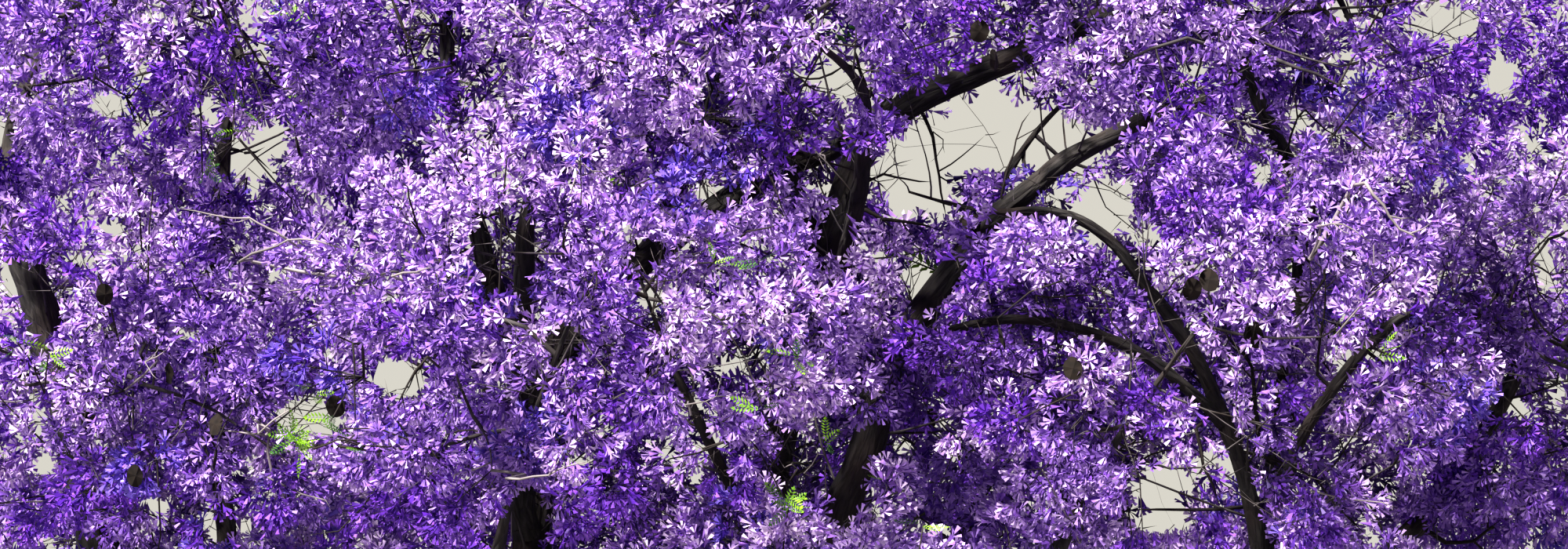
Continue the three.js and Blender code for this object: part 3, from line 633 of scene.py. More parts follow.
def in_shapes(points, shapes, edge):
    """Whether each point is seen inside one of some ellipses. Edge widens or narrows them, point by point."""
    flat = on_plane(points)
    right = (MIDDLE_ACROSS + flat[:, :1] / PIXEL - shapes[:, 0]) / shapes[:, 2]
    down = (MIDDLE_DOWN - (flat[:, 1:] - VIEW_HEIGHT) / PIXEL - shapes[:, 1]) / shapes[:, 3]
    return (right ** 2 + down ** 2 < np.reshape(edge, (-1, 1))).any(axis=1)


def blocked(points, rng, spread):
    """Whether each point would stand in an opening, in front of a hollow or out of the frame's box."""
    edge = rng.uniform(1 - spread, 1 + spread, len(points))
    hollow = in_shapes(points, HOLLOWS, edge) & (points[:, 1] < HOLLOW_DEPTH)
    return in_shapes(points, OPENINGS, edge) | hollow | outside_box(points)


def outside_box(points):
    """Whether each point stands further out of the frame's box than a flower may."""
    low, high = np.array(CAD_BOX) / METRE
    slack = (high - low) * BOX_SLACK
    return ((points < low - slack) | (points > high + slack)).any(axis=1)


class Limb:
    """One limb: its spine in the frame, its finer spine, and its radii."""

    def __init__(self, name, spine, fine, root, end):
        self.name = name
        self.spine = spine
        self.fine = fine
        self.root = root
        self.end = end

    def radius_at(self, at):
        """The radius at a share of the length."""
        return self.root + (self.end - self.root) * at

    def fine_radii(self):
        """The radius at every station of the finer spine."""
        return np.linspace(self.root, self.end, len(self.fine))

    def stretches(self):
        """The straight stretches of the frame's spine: their starts, their ends and their radii."""
        steps = len(self.spine) - 1
        radii = self.root + (self.end - self.root) * np.arange(steps) / steps
        return self.spine[:-1], self.spine[1:], radii


class Mass:
    """One mass of foliage: the middle and size of its space, its stem and what grows from it."""

    def __init__(self, index, middle, wide, tall, twigs, seed):
        self.index = index
        self.middle = middle
        self.size = np.array((wide, wide, tall), float)
        self.twig_count = twigs
        self.seed = seed
        self.seat = None
        self.twigs = []
        self.blooms = []
        self.pods = []
        self.sprays = []

    def make_space(self, masses, obstacles):
        """Walls half way to every other mass, and the limbs and stems that foliage keeps clear of."""
        away = np.array([other.middle - self.middle for other in masses if other is not self])
        spans = np.linalg.norm(away, axis=1)
        self.normals = away / spans[:, None]
        self.offs = spans / 2 - APART
        keep = obstacles["owner"] != self.index
        self.starts = obstacles["start"][keep]
        self.ends = obstacles["end"][keep]
        self.radii = obstacles["radius"][keep]

    def inside(self, points, margin):
        """Whether each point is inside the space and a margin clear of its walls."""
        d = np.atleast_2d(points) - self.middle
        within = np.linalg.norm(d / self.size, axis=1) < SPACE_EDGE
        return within & (d @ self.normals.T < self.offs - margin).all(axis=1)

    def room(self, point, heading, margin):
        """How far a ray can go before it leaves the space."""
        d = point - self.middle
        p = d / self.size
        h = heading / self.size
        b = p @ h
        root = b * b - (h @ h) * (p @ p - 1)
        far = (math.sqrt(root) - b) / (h @ h) if root > 0 else 0
        speed = self.normals @ heading
        facing = speed > 1e-6
        gaps = (self.offs - margin - self.normals @ d)[facing] / speed[facing]
        return min(far, gaps.min()) if len(gaps) else far

    def clear(self, start, end, radius):
        """Whether a stretch of a radius keeps clear of every limb and stem."""
        gaps = stretch_distances(start, end, self.starts, self.ends)
        return bool((gaps > radius + self.radii + APART).all())


class Tree:
    """The growth rule of the frame, and the finer growth that stands in its place."""

    def __init__(self):
        self.grow_limbs()
        self.place_masses()
        self.seat_masses()
        self.place_tip_masses()
        for mass in self.masses:
            self.place_stem(mass)
        obstacles = self.obstacles()
        for mass in self.masses:
            mass.make_space(self.masses, obstacles)
        for mass in self.masses:
            grow_twigs(mass)
            if mass.index % POD_EVERY == 0:
                place_pod(mass)

    def grow_limbs(self):
        """The trunk, then every limb from its carrier."""
        foot = np.array((0, 0, -FOOT_CUT), float)
        top = np.array(FORK, float) + (0, 0, TRUNK_CROWN_HEIGHT)
        bow = (TRUNK_BOW, 0, 0)
        fine = bend(foot, top, bow, TRUNK_FINE_STEPS)
        self.limbs = {"trunk": Limb("trunk", bend(foot, top, bow, TRUNK_STEPS), fine, 0, 0)}
        for name, (carrier, at, tip, bow, root, end) in LIMBS.items():
            start = spot_on(self.limbs[carrier].spine, at)
            far = math.dist(start, tip)
            steps = max(3, math.floor(far / LIMB_STEP + 0.5))
            fine = bend(start, tip, bow, max(LIMB_LEAST_STEPS, int(far / LIMB_FINE_STEP)))
            self.limbs[name] = Limb(name, bend(start, tip, bow, steps), fine, root, end)

    def place_masses(self):
        """The masses of every tier, spread round it with a little jitter."""
        random = seeded(CROWN_SEED)
        self.masses = []
        for height, reach, count, first, wide, tall in TIERS:
            for i in range(count):
                turn = math.radians(first + 360 * i / count)
                jitter = np.array([(random() - 0.5) * 2 * TIER_JITTER for _ in range(3)])
                middle = np.array((reach * math.cos(turn), reach * CROWN_DEPTH * math.sin(turn), height))
                seed = MASS_SEED + len(self.masses) * SEED_STEP
                self.masses.append(Mass(len(self.masses), middle + jitter, wide, tall, TWIGS, seed))

    def seat_masses(self):
        """The nearest free tip and mass are joined first. The masses left over stand on a limb's side."""
        carrying = {limb[0] for limb in LIMBS.values() if limb[1] == 1}
        tips = [name for name in LIMBS if name not in carrying and name not in TIP_MASSES]
        pairs = [(name, mass) for name in tips for mass in self.masses]
        pairs.sort(key=lambda pair: reach_to(self.limbs[pair[0]].spine[-1], pair[1]))
        taken = set()
        for name, mass in pairs:
            if name not in taken and mass.seat is None:
                mass.seat = (self.limbs[name], 1)
                taken.add(name)
        for mass in self.masses:
            if mass.seat is None:
                self.seat_on_side(mass)

    def seat_on_side(self, mass):
        """The nearest spot on a limb that is thick enough and far enough away."""
        least = math.inf
        for name in LIMBS:
            limb = self.limbs[name]
            for i in range(SIDE_SPOTS):
                at = SIDE_FIRST + (SIDE_LAST - SIDE_FIRST) * i / (SIDE_SPOTS - 1)
                spot = spot_on(limb.spine, at)
                far = reach_to(spot, mass)
                long_enough = math.dist(spot, mass.middle) > SIDE_LEAST_SPAN
                if limb.end >= SIDE_LEAST_RADIUS and long_enough and far < least:
                    least = far
                    mass.seat = (limb, at)

    def place_tip_masses(self):
        """The small masses on the tips of thin limbs."""
        for i, name in enumerate(TIP_MASSES):
            limb = self.limbs[name]
            middle = limb.spine[-1] + heading_at(limb.spine, len(limb.spine) - 1) * TIP_MASS_REACH
            middle[2] += TIP_MASS_LIFT
            seed = TIP_MASS_SEED + i * SEED_STEP
            mass = Mass(len(self.masses), middle, TIP_MASS_WIDE, TIP_MASS_TALL, TIP_MASS_TWIGS, seed)
            mass.seat = (limb, 1)
            self.masses.append(mass)

    def place_stem(self, mass):
        """The stem from a mass's seat into its middle."""
        limb, at = mass.seat
        spot = spot_on(limb.spine, at)
        radius = limb.radius_at(at)
        heading = heading_at(limb.spine, math.floor(at * (len(limb.spine) - 1) + 0.5))
        span = math.dist(mass.middle, spot)
        towards = (mass.middle - spot) / span
        leave = unit(heading * STEM_LEAN + towards) if at < 1 else heading
        start = spot - leave * (0 if at < 1 else radius)
        control = spot + leave * span * STEM_LEAVE
        inner = mass.middle + towards * span * STEM_OVERRUN
        root = min(radius * STEM_SIDE_SHARE, STEM_SIDE_RADIUS) if at < 1 else radius * STEM_TIP_SHARE
        end = min(root, STEM_TIP_RADIUS)
        fine = curve(start, control, inner, STEM_FINE_STEPS)
        mass.stem = Limb("stem", curve(start, control, inner, STEM_STEPS), fine, root, end)

    def obstacles(self):
        """Straight stretches of every limb and stem, with the mass that owns each stem."""
        owned = [(self.limbs[name], -1) for name in LIMBS]
        owned += [(mass.stem, mass.index) for mass in self.masses]
        parts = [(*limb.stretches(), owner) for limb, owner in owned]
        return {
            "start": np.concatenate([part[0] for part in parts]),
            "end": np.concatenate([part[1] for part in parts]),
            "radius": np.concatenate([part[2] for part in parts]),
            "owner": np.concatenate([np.full(len(part[2]), part[3]) for part in parts]),
        }


def reach_to(spot, mass):
    """How far a mass is from a spot on a limb. A mass lower than the spot counts as farther."""
    return math.dist(spot, mass.middle) + max(0, spot[2] - mass.middle[2]) * HANG_COST


def grow_twigs(mass):
    """The frame's rule for one mass: twigs round a spiral, side twigs on each, and a bloom at every end."""
    random = seeded(mass.seed)

    def draw_bloom():
        """The size and turn of one bloom."""
        length = BLOOM_LENGTH * (BLOOM_LEAST + BLOOM_VARY * random())
        width = BLOOM_WIDTH * (BLOOM_LEAST + BLOOM_VARY * random())
        return {"length": length, "width": width, "spin": random() * math.pi}

    def place_bloom(bloom, at, heading):
        """Puts a bloom on the end of a twig, and says whether it has room there."""
        axis = unit(heading + np.array((0, 0, BLOOM_LIFT)))
        base = at - axis * BLOOM_SUNK * bloom["length"]
        tip = base + axis * bloom["length"]
        middle = (base + tip) / 2
        rim = [middle + across(axis, bloom["spin"] + k * math.pi / 2) * bloom["width"] / 2 for k in range(4)]
        bloom.update(axis=axis, base=base, tip=tip, middle=middle, rim=rim)
        return (
            mass.inside(np.array([base, tip, *rim]), 0).all()
            and mass.clear(base, tip, bloom["width"] / 2)
            and not in_lane(np.array([middle, tip])).any()
            and all(math.dist(middle, other["middle"]) > BLOOM_SPACING for other in mass.blooms)
        )

    def fits(start, end, radius):
        """Whether a twig stays in the space and clear of the wood."""
        return mass.inside(np.array([start, end]), radius).all() and mass.clear(start, end, radius)

    def out_to(start, heading, bloom):
        """How long a twig may be with its bloom still in the space."""
        room = mass.room(start, heading, BLOOM_SIDE_ROOM * bloom["width"])
        return room - (1 - BLOOM_SUNK) * bloom["length"]

    for i in range(mass.twig_count):
        turn = i * GOLDEN_TURN + random() * TWIG_TURN_VARY
        heading = spiral_heading(i, mass.twig_count, turn)
        start = spot_on(mass.stem.spine, TWIG_LAST - TWIG_SPREAD * (i + random()) / mass.twig_count)
        spray = draw_bloom()
        sides = []
        for k in range(SIDE_TWIGS):
            at = SIDE_TWIG_FIRST + SIDE_TWIG_GAP * k + SIDE_TWIG_VARY * random()
            side_turn = random() * math.pi
            long = SIDE_TWIG_LONG + (1 - SIDE_TWIG_LONG) * random()
            sides.append((at, side_turn + k * math.pi, long, draw_bloom()))
        length = out_to(start, heading, spray)
        end = start + heading * length
        if length < TWIG_LEAST or not fits(start, end, TWIG_RADIUS):
            continue
        mass.twigs.append((start, end, True))
        if place_bloom(spray, end, heading):
            mass.blooms.append(spray)
        for at, side_turn, long, side_spray in sides:
            root = start + (end - start) * at
            lean = unit(heading * SIDE_TWIG_LEAN + across(heading, side_turn))
            run = min(SIDE_TWIG_MOST, out_to(root, lean, side_spray) * long)
            tip = root + lean * run
            if run > TWIG_LEAST and fits(root, tip, SIDE_TWIG_RADIUS) and place_bloom(side_spray, tip, lean):
                mass.twigs.append((root, tip, False))
                mass.blooms.append(side_spray)


def place_pod(mass):
    """A pod hangs under the middle of the first twig that leaves room for it."""
    for start, end, main in mass.twigs:
        hold = start + (end - start) * POD_SPOT
        middle = hold - np.array((0, 0, POD_RADIUS * POD_SUNK))
        low = middle - np.array((0, 0, POD_RADIUS))
        free = all(math.dist(bloom["middle"], middle) > POD_CLEAR for bloom in mass.blooms)
        if main and free and mass.inside(low, POD_RADIUS).all() and mass.clear(middle, low, POD_RADIUS):
            mass.pods.append(hold)
            return


class SightLines:
    """Stretches of limb that stay in sight from in front, with nothing grown between them and the eye."""

    def __init__(self):
        self.points = np.zeros((0, 3))
        self.radii = np.zeros(0)
        self.edges = np.zeros(0)

    def keep(self, limb, first, last):
        """Keeps a stretch of a limb in sight. Blossom closes over it towards its two ends."""
        spine = limb.fine
        a, b = int(first * (len(spine) - 1)), int(last * (len(spine) - 1)) + 1
        radii = limb.radius_at(np.linspace(0, 1, len(spine)))
        wave = np.sin(math.pi * np.linspace(*CLOSING_ENDS, b - a)) ** CLOSING_POWER
        share = np.minimum(1, CLOSING_LEAST + CLOSING_RISE * wave)
        if limb.name.startswith("limb"):
            self.add(spine[a:b], radii[a:b], THIN_EDGE)
        else:
            self.add(spine[a:b], radii[a:b] * (SIGHT_WIDE * share - SIGHT_LESS), 0)

    def add(self, points, radii, edge):
        """Keeps points of a line in sight, each by its radius and an edge round it."""
        self.points = np.vstack([self.points, points])
        self.radii = np.concatenate([self.radii, np.broadcast_to(radii, len(points))])
        self.edges = np.concatenate([self.edges, np.full(len(points), float(edge))])

    def hides(self, points, margin, wider=0):
        """Whether each point stands in front of a kept stretch, within a margin of its edge.

        Wider is a share of the stretch's radius that is added to the margin.
        """
        flat, kept = on_plane(points), on_plane(self.points)
        reach = self.radii * (1 + np.reshape(wider, (-1, 1))) + self.edges + margin
        gap = np.linalg.norm(flat[:, None] - kept[None], axis=2) - reach
        front = points[:, None, 1] < self.points[None, :, 1] + self.radii
        return ((gap < 0) & front).any(axis=1)


SIGHT = SightLines()
# How clear sprays stand of what is kept in sight, the edge kept free round thin wood, and how far a flower
# may close over it or stand off it, as a share of its radius.
SPRAY_SIGHT = 10
THIN_EDGE = 14
FLOWER_SIGHT = (-0.4, 0.7)
# How blossom closes over a bough towards the ends of a kept stretch: the part of a half wave that shapes it,
# the wave's power, its least and its rise. Then the share of the radius that is kept, and how much is lost.
CLOSING_ENDS = (0.06, 0.94)
CLOSING_POWER = 1.3
CLOSING_LEAST = 0.15
CLOSING_RISE = 1.7
SIGHT_WIDE = 1.6
SIGHT_LESS = 0.75
# Stretches of limb in plain sight in the photograph, as shares of each limb's length.
IN_SIGHT = (
    ("limb_arch", 0.2, 1.0), ("limb_arch_tip", 0.0, 0.95), ("limb_low_arch", 0.0, 0.97),
    ("limb_right", 0.6, 1.0), ("limb_centre_low", 0.74, 1.0), ("bough_front", 0.8, 0.95),
    ("bough_front_upper", 0.16, 0.33), ("bough_front_upper", 0.38, 0.95), ("bough_centre", 0.95, 1.0),
    ("bough_centre_right", 0.0, 0.35), ("bough_centre_right", 0.7, 1.0), ("bough_centre_far", 0.0, 0.28),
    ("bough_mid", 0.72, 0.79), ("bough_mid_upper", 0.0, 0.07), ("bough_mid_upper", 0.32, 0.42),
    ("bough_mid_upper", 0.6, 0.72), ("bough_mid_upper", 0.88, 1.0), ("bough_mid_left", 0.3, 0.42),
    ("bough_left_upper", 0.78, 0.99), ("bough_right_upper", 0.8, 0.93), ("bough_right_top", 0.1, 0.6),
)


def at_front(point):
    """Whether a point is where the photograph looks closely."""
    return bool((point > FRONT_BOX[0]).all() and (point < FRONT_BOX[1]).all())


def pick_sprays(mass, rng):
    """Ends of one mass's sprays: first on the frame's blooms, then wherever its shells are still open."""
    wanted = []
    for bloom in mass.blooms:
        wanted.append((bloom["tip"] - bloom["axis"] * TIP_INSET, bloom["axis"], TIP_CLOSER))
        for rim in bloom["rim"]:
            out = unit(rim - bloom["middle"])
            end = bloom["middle"] + out * bloom["width"] * RIM_OUT
            end = end + bloom["axis"] * bloom["length"] * RIM_UP
            wanted.append((end, unit(bloom["axis"] + out * RIM_LEAN), 1.0))
    for share, count, wider in SHELLS:
        for i in range(count):
            out = spiral_heading(i, count, i * GOLDEN_TURN + mass.seed)
            end = mass.middle + out * mass.size * (share + rng.uniform(*SHELL_REACH))
            end = end + rng.normal(0, SHELL_SCATTER, 3)
            hollow = CROWN_HOLLOW if at_front(end) else OTHER_HOLLOW
            if np.linalg.norm((end - CROWN_CENTRE) / CROWN_RADII) < hollow:
                continue
            away = unit((end - CROWN_CENTRE) / CROWN_RADII)
            wanted.append((end, unit(out + SHELL_AWAY * away + np.array((0, 0, SHELL_LIFT))), wider))
    ends = np.zeros((0, 3))
    for end, axis, wider in wanted:
        if len(ends) and np.linalg.norm(ends - end, axis=1).min() < SPRAY_SPACING * wider:
            continue
        base = end - axis * SPRAY_LENGTH * SPRAY_BODY
        spread = np.array([end, (end + base) / 2])
        if not mass.inside(end, SPRAY_MARGIN)[0] or blocked(spread, rng, SPRAY_EDGE).all():
            continue
        if not mass.clear((base + end) / 2, end, LIMB_CLEAR) or SIGHT.hides(spread, SPRAY_SIGHT).all():
            continue
        ends = np.vstack([ends, end])
        mass.sprays.append((end, axis))


def pick_limb_sprays(grown, rng):
    """Sprays on short twigs straight from the boughs, all round them, wherever other sprays leave room."""
    ends = np.array([spray[0] for mass in grown.masses for spray in mass.sprays])
    everything = grown.obstacles()
    sprays = []
    for name in LIMBS:
        limb = grown.limbs[name]
        count = 2 * int(len(limb.fine) * LIMB_FINE_STEP / LIMB_SPRAY_STEP)
        for i in range(count):
            at = LIMB_SPRAY_FIRST + (LIMB_SPRAY_LAST - LIMB_SPRAY_FIRST) * (i + 0.5) / count
            hold = spot_on(limb.fine, at)
            heading = heading_at(limb.fine, int(at * (len(limb.fine) - 1)))
            out = across(heading, i * GOLDEN_TURN)
            axis = unit(out + heading * LIMB_SPRAY_LEAN + np.array((0, 0, LIMB_SPRAY_LIFT)))
            end = hold + axis * (limb.radius_at(at) + SPRAY_LENGTH + rng.uniform(*LIMB_SPRAY_REACH))
            base = end - axis * SPRAY_LENGTH
            spread = np.array([end, (end + base) / 2])
            outward = np.linalg.norm((end - CROWN_CENTRE) / CROWN_RADII)
            if end[2] < LIMB_SPRAY_FOOT or outward > LIMB_SPRAY_EDGE:
                continue
            if np.linalg.norm(ends - end, axis=1).min() < SPRAY_SPACING * LIMB_SPRAY_CLOSER:
                continue
            if blocked(spread, rng, SPRAY_EDGE).any() or SIGHT.hides(spread, SPRAY_SIGHT).any():
                continue
            gaps = stretch_distances(base, end, everything["start"], everything["end"]) - everything["radius"]
            if gaps.min() < LIMB_SPRAY_GAP:
                continue
            ends = np.vstack([ends, end])
            sprays.append((end, axis, hold))
    return sprays


def ring_faces(rings, sides, foot=False):
    """Triangles over a row of rings, up to the point after them and, with a foot, down to the next."""
    k = np.arange(sides)
    after = (k + 1) % sides
    faces = []
    for first in range(0, (rings - 1) * sides, sides):
        faces.append(np.stack([first + k, first + after, first + after + sides], axis=1))
        faces.append(np.stack([first + k, first + after + sides, first + k + sides], axis=1))
    top = (rings - 1) * sides
    faces.append(np.stack([top + k, top + after, np.full(sides, top + sides)], axis=1))
    if foot:
        faces.append(np.stack([after, k, np.full(sides, top + sides + 1)], axis=1))
    return np.concatenate(faces)


class Twigs:
    """Twigs gathered as rows of stations and radii, by their number of stations."""

    def __init__(self):
        self.rows = {}

    def add(self, stations, radii):
        """One twig: its stations and its radius at each."""
        self.rows.setdefault(len(stations), []).append((stations, radii))

    def mesh(self, sides):
        """Points and faces of every twig: rings along it and a point at its end."""
        points, faces, base = [], [], 0
        for count, rows in sorted(self.rows.items()):
            spines = np.array([row[0] for row in rows], float)
            radii = np.array([row[1] for row in rows], float)
            heading = unit(np.gradient(spines, axis=1))
            main = unit(spines[:, -1] - spines[:, 0])
            helper = np.where(np.abs(main[:, 2:]) < 0.8, (0, 0, 1.0), (1.0, 0, 0))[:, None, :]
            side = unit(np.cross(helper, heading))
            other = np.cross(heading, side)
            turn = np.arange(sides) * FULL_TURN / sides
            ring = side[:, :, None, :] * np.cos(turn)[:, None] + other[:, :, None, :] * np.sin(turn)[:, None]
            rings = (spines[:, :, None, :] + ring * radii[:, :, None, None])[:, :-1]
            made = np.concatenate([rings.reshape(len(rows), -1, 3), spines[:, -1:]], axis=1)
            offsets = base + np.arange(len(rows)) * made.shape[1]
            faces.append((ring_faces(count - 1, sides)[None] + offsets[:, None, None]).reshape(-1, 3))
            points.append(made.reshape(-1, 3))
            base += made.shape[0] * made.shape[1]
        return np.concatenate(points), np.concatenate(faces)


def plain_mesh(name, points, faces):
    """A mesh of triangles from arrays, in metres."""
    mesh = bpy.data.meshes.new(name)
    mesh.vertices.add(len(points))
    mesh.vertices.foreach_set("co", np.asarray(points, np.float32).ravel())
    mesh.loops.add(faces.size)
    mesh.loops.foreach_set("vertex_index", faces.astype(np.int32).ravel())
    mesh.polygons.add(len(faces))
    mesh.polygons.foreach_set("loop_start", np.arange(len(faces), dtype=np.int32) * faces.shape[1])
    mesh.update(calc_edges=True)
    return mesh


def place(mesh, slot, nodes, *materials):
    """Puts a finished mesh in the scene as one piece that stands for frame nodes."""
    for material in materials:
        mesh.materials.append(material)
    piece = bpy.data.objects.new(mesh.name, mesh)
    bpy.context.scene.collection.objects.link(piece)
    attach(piece, "root")
    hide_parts(*nodes)
    return piece


class Socket:
    """An output of a node, so that sums on values can be written as sums."""

    def __init__(self, graph, socket):
        self.graph = graph
        self.socket = socket

    def __add__(self, other):
        return self.graph.sum("ADD", self, other)

    def __radd__(self, other):
        return self.graph.sum("ADD", other, self)

    def __sub__(self, other):
        return self.graph.sum("SUBTRACT", self, other)

    def __rsub__(self, other):
        return self.graph.sum("SUBTRACT", other, self)

    def __mul__(self, other):
        return self.graph.sum("MULTIPLY", self, other)

    def __rmul__(self, other):
        return self.graph.sum("MULTIPLY", other, self)


class Graph:
    """A node tree that is built node by node."""

    def __init__(self, tree):
        self.tree = tree

    def add(self, kind, settings=None, sockets=None):
        """One node of a kind, with its settings, then the values or links of its sockets."""
        node = self.tree.nodes.new(kind)
        for key, value in (settings or {}).items():
            if key == "stops":
                set_stops(node.color_ramp, value)
            else:
                setattr(node, key, value)
        for key, value in (sockets or {}).items():
            if isinstance(value, Socket):
                self.tree.links.new(value.socket, node.inputs[key])
            else:
                node.inputs[key].default_value = value
        return node

    def out(self, kind, output, settings=None, sockets=None):
        """One output of a new node."""
        return Socket(self, self.add(kind, settings, sockets).outputs[output])

    def sum(self, operation, a, b):
        """One step of arithmetic on two values."""
        return self.out("ShaderNodeMath", 0, {"operation": operation}, {0: a, 1: b})

    def blend(self, factor, a, b):
        """Mixes two colours."""
        colours = {0: factor, 6: a, 7: b}
        return self.out("ShaderNodeMix", 2, {"data_type": "RGBA"}, colours)


def set_stops(ramp, stops):
    """Puts a ramp's stops, as pairs of place and grey level, in order."""
    while len(ramp.elements) < len(stops):
        ramp.elements.new(0.5)
    for element, (at, level) in zip(ramp.elements, stops):
        element.position = at
        element.color = (level, level, level, 1)


def new_material(name, roughness):
    """A material with one Principled shader, and the graph that holds it."""
    material = bpy.data.materials.new(name)
    material.use_nodes = True
    graph = Graph(material.node_tree)
    shader = material.node_tree.nodes["Principled BSDF"]
    shader.inputs["Roughness"].default_value = roughness
    return material, graph, shader


def rgba(colour, share=1.0):
    """A colour made paler or darker by a share, with its alpha."""
    return (*(min(1.0, c * share) for c in colour), 1.0)


def ramp(graph, level, low, high):
    """A level spread from 0 at low to 1 at high."""
    return graph.out("ShaderNodeValToRGB", 0, {"stops": ((low, 0), (high, 1))}, {0: level})


# Bark up in the crown keeps near-black tints that stand in for its shade (painted shade). Low down it is
# paler,
# # nearer the bark's own grey-brown: the height in metres where that ends, how fast it fades in below, and
# how
# # much paler it is.
PALER_BARK_TOP = 3.3
PALER_BARK_FADE = 0.7
LOW_BARK_PALER = 2.3
# How fine the furrows and plates are where the scale is 1.
FURROWS = 55
PLATES = 38
TRUNK_BARK_SCALE = 0.8
BOUGH_BARK_SCALE = 1.2


def bark_material(name, settings, scale):
    """Fissured bark on the piece's own grain: long furrows, small plates and warm patches, near-black as
    painted shade in the crown and paler low down.
    """
    material, graph, shader = new_material(name, roughness=0.9)
    tints = (settings.bark_dark, settings.bark_light, settings.bark_warm)
    grain = graph.out("ShaderNodeAttribute", "Vector", {"attribute_name": "grain"})
    long = graph.out("ShaderNodeMapping", 0, None, {"Vector": grain, "Scale": (1, 1, 0.22)})
    lines, cells = ({"Vector": long, "Scale": often * scale} for often in (FURROWS, PLATES))
    furrows = graph.out("ShaderNodeTexNoise", 0, None, {**lines, "Detail": 6.0})
    plates = graph.out("ShaderNodeTexVoronoi", 0, {"feature": "DISTANCE_TO_EDGE"}, cells)
    patches = graph.out("ShaderNodeTexNoise", 0, None, {"Vector": grain, "Scale": 5.0, "Detail": 3.0})
    ridge = ramp(graph, furrows, 0.32, 0.66)
    warmth = ramp(graph, patches, 0.48, 0.7)
    # The crown's bark in near-black tints that stand in for shade (painted shade), then the paler bark low
    # down.
    young, old = (
        graph.blend(warmth, graph.blend(ridge, dark, light), warm)
        for dark, light, warm in ([rgba(tint, share) for tint in tints] for share in (1.0, LOW_BARK_PALER))
    )
    rise = graph.out("ShaderNodeSeparateXYZ", "Z", None, {0: graph.out("ShaderNodeTexCoord", "Object")})
    low_share = graph.out("ShaderNodeClamp", 0, None, {0: (PALER_BARK_TOP - rise) * PALER_BARK_FADE})
    colour = graph.blend(low_share, young, old)
    height = furrows * 0.7 + plates * 1.4
    bump = graph.out("ShaderNodeBump", 0, None, {"Strength": 0.9, "Distance": 0.012, "Height": height})
    graph.tree.links.new(colour.socket, shader.inputs["Base Color"])
    graph.tree.links.new(bump.socket, shader.inputs["Normal"])
    return material


def mottled_material(name, colour, other, scale, roughness):
    """A soft change between two near colours."""
    material, graph, shader = new_material(name, roughness)
    coordinates = graph.out("ShaderNodeTexCoord", "Object")
    patches = graph.out("ShaderNodeTexNoise", 0, None, {"Vector": coordinates, "Scale": scale, "Detail": 0.0})
    tone = graph.blend(ramp(graph, patches, 0.38, 0.62), rgba(colour), rgba(other))
    graph.tree.links.new(tone.socket, shader.inputs["Base Color"])
    return material


# What the rows of a scatter hold after their points: attribute, kind, field and columns.
ROW_FIELDS = (
    ("facing", "FLOAT_VECTOR", "vector", slice(3, 6)),
    ("spin", "FLOAT", "value", 6),
    ("size", "FLOAT", "value", 7),
)
SCATTER_INPUTS = {
    "Points": "Geometry", "Source": "Object", "Size": "Float", "Main": "Material", "Part": "Material",
}


def scatter_tree():
    """Geometry Nodes that stand one source mesh on every point, turned to face its own way."""
    tree = bpy.data.node_groups.new("scatter", "GeometryNodeTree")
    sockets = {}
    for label, kind in SCATTER_INPUTS.items():
        socket = tree.interface.new_socket(label, in_out="INPUT", socket_type="NodeSocket" + kind)
        sockets[label] = socket.identifier
    tree.interface.new_socket("Geometry", in_out="OUTPUT", socket_type="NodeSocketGeometry")
    graph = Graph(tree)
    given = {output.name: Socket(graph, output) for output in graph.add("NodeGroupInput").outputs}
    facing, spin, size, part = (
        graph.out("GeometryNodeInputNamedAttribute", 0, {"data_type": kind}, {"Name": label})
        for label, kind, *_ in (*ROW_FIELDS, ("part", "BOOLEAN"))
    )
    aligned = graph.out("FunctionNodeAlignRotationToVector", 0, {"axis": "Z"}, {"Vector": facing})
    turned = graph.out("FunctionNodeAxisAngleToRotation", 0, None, {"Axis": (0, 0, 1), "Angle": spin})
    local = {"rotation_space": "LOCAL"}
    rotation = graph.out("FunctionNodeRotateRotation", 0, local, {0: aligned, 1: turned})
    source = graph.out("GeometryNodeObjectInfo", "Geometry", None, {"Object": given["Source"]})
    stood = graph.out("GeometryNodeInstanceOnPoints", 0, None, {
        "Points": given["Points"], "Instance": source, "Rotation": rotation, "Scale": size * given["Size"],
    })
    joined = graph.out("GeometryNodeRealizeInstances", 0, None, {0: stood})
    main = graph.out("GeometryNodeSetMaterial", 0, None, {"Geometry": joined, "Material": given["Main"]})
    both = graph.out("GeometryNodeSetMaterial", 0, None, {
        "Geometry": main, "Selection": part, "Material": given["Part"],
    })
    graph.add("NodeGroupOutput", None, {0: both})
    return tree, sockets


def scatter(name, source, rows, main, part):
    """A plain mesh of copies of a source mesh. A row holds a point in millimetres, facing, turn and size."""
    tree, sockets = scatter_tree()
    cloud = bpy.data.meshes.new(name)
    cloud.vertices.add(len(rows))
    cloud.vertices.foreach_set("co", (rows[:, :3] * METRE).astype(np.float32).ravel())
    for label, kind, field, columns in ROW_FIELDS:
        layer = cloud.attributes.new(label, kind, "POINT")
        layer.data.foreach_set(field, rows[:, columns].astype(np.float32).ravel())
    holder = bpy.data.objects.new(name, cloud)
    model = bpy.data.objects.new(name + "_source", source)
    bpy.context.scene.collection.objects.link(holder)
    modifier = holder.modifiers.new("scatter", "NODES")
    modifier.node_group = tree
    for label, value in (("Source", model), ("Size", 1.0), ("Main", main), ("Part", part)):
        modifier[sockets[label]] = value
    graph = bpy.context.evaluated_depsgraph_get()
    made = bpy.data.meshes.new_from_object(holder.evaluated_get(graph), depsgraph=graph)
    bpy.data.objects.remove(holder)
    bpy.data.objects.remove(model)
    bpy.data.node_groups.remove(tree)
    bpy.data.meshes.remove(cloud)
    made.name = name
    if not made.polygons:
        raise RuntimeError(name + " came out empty")
    return made


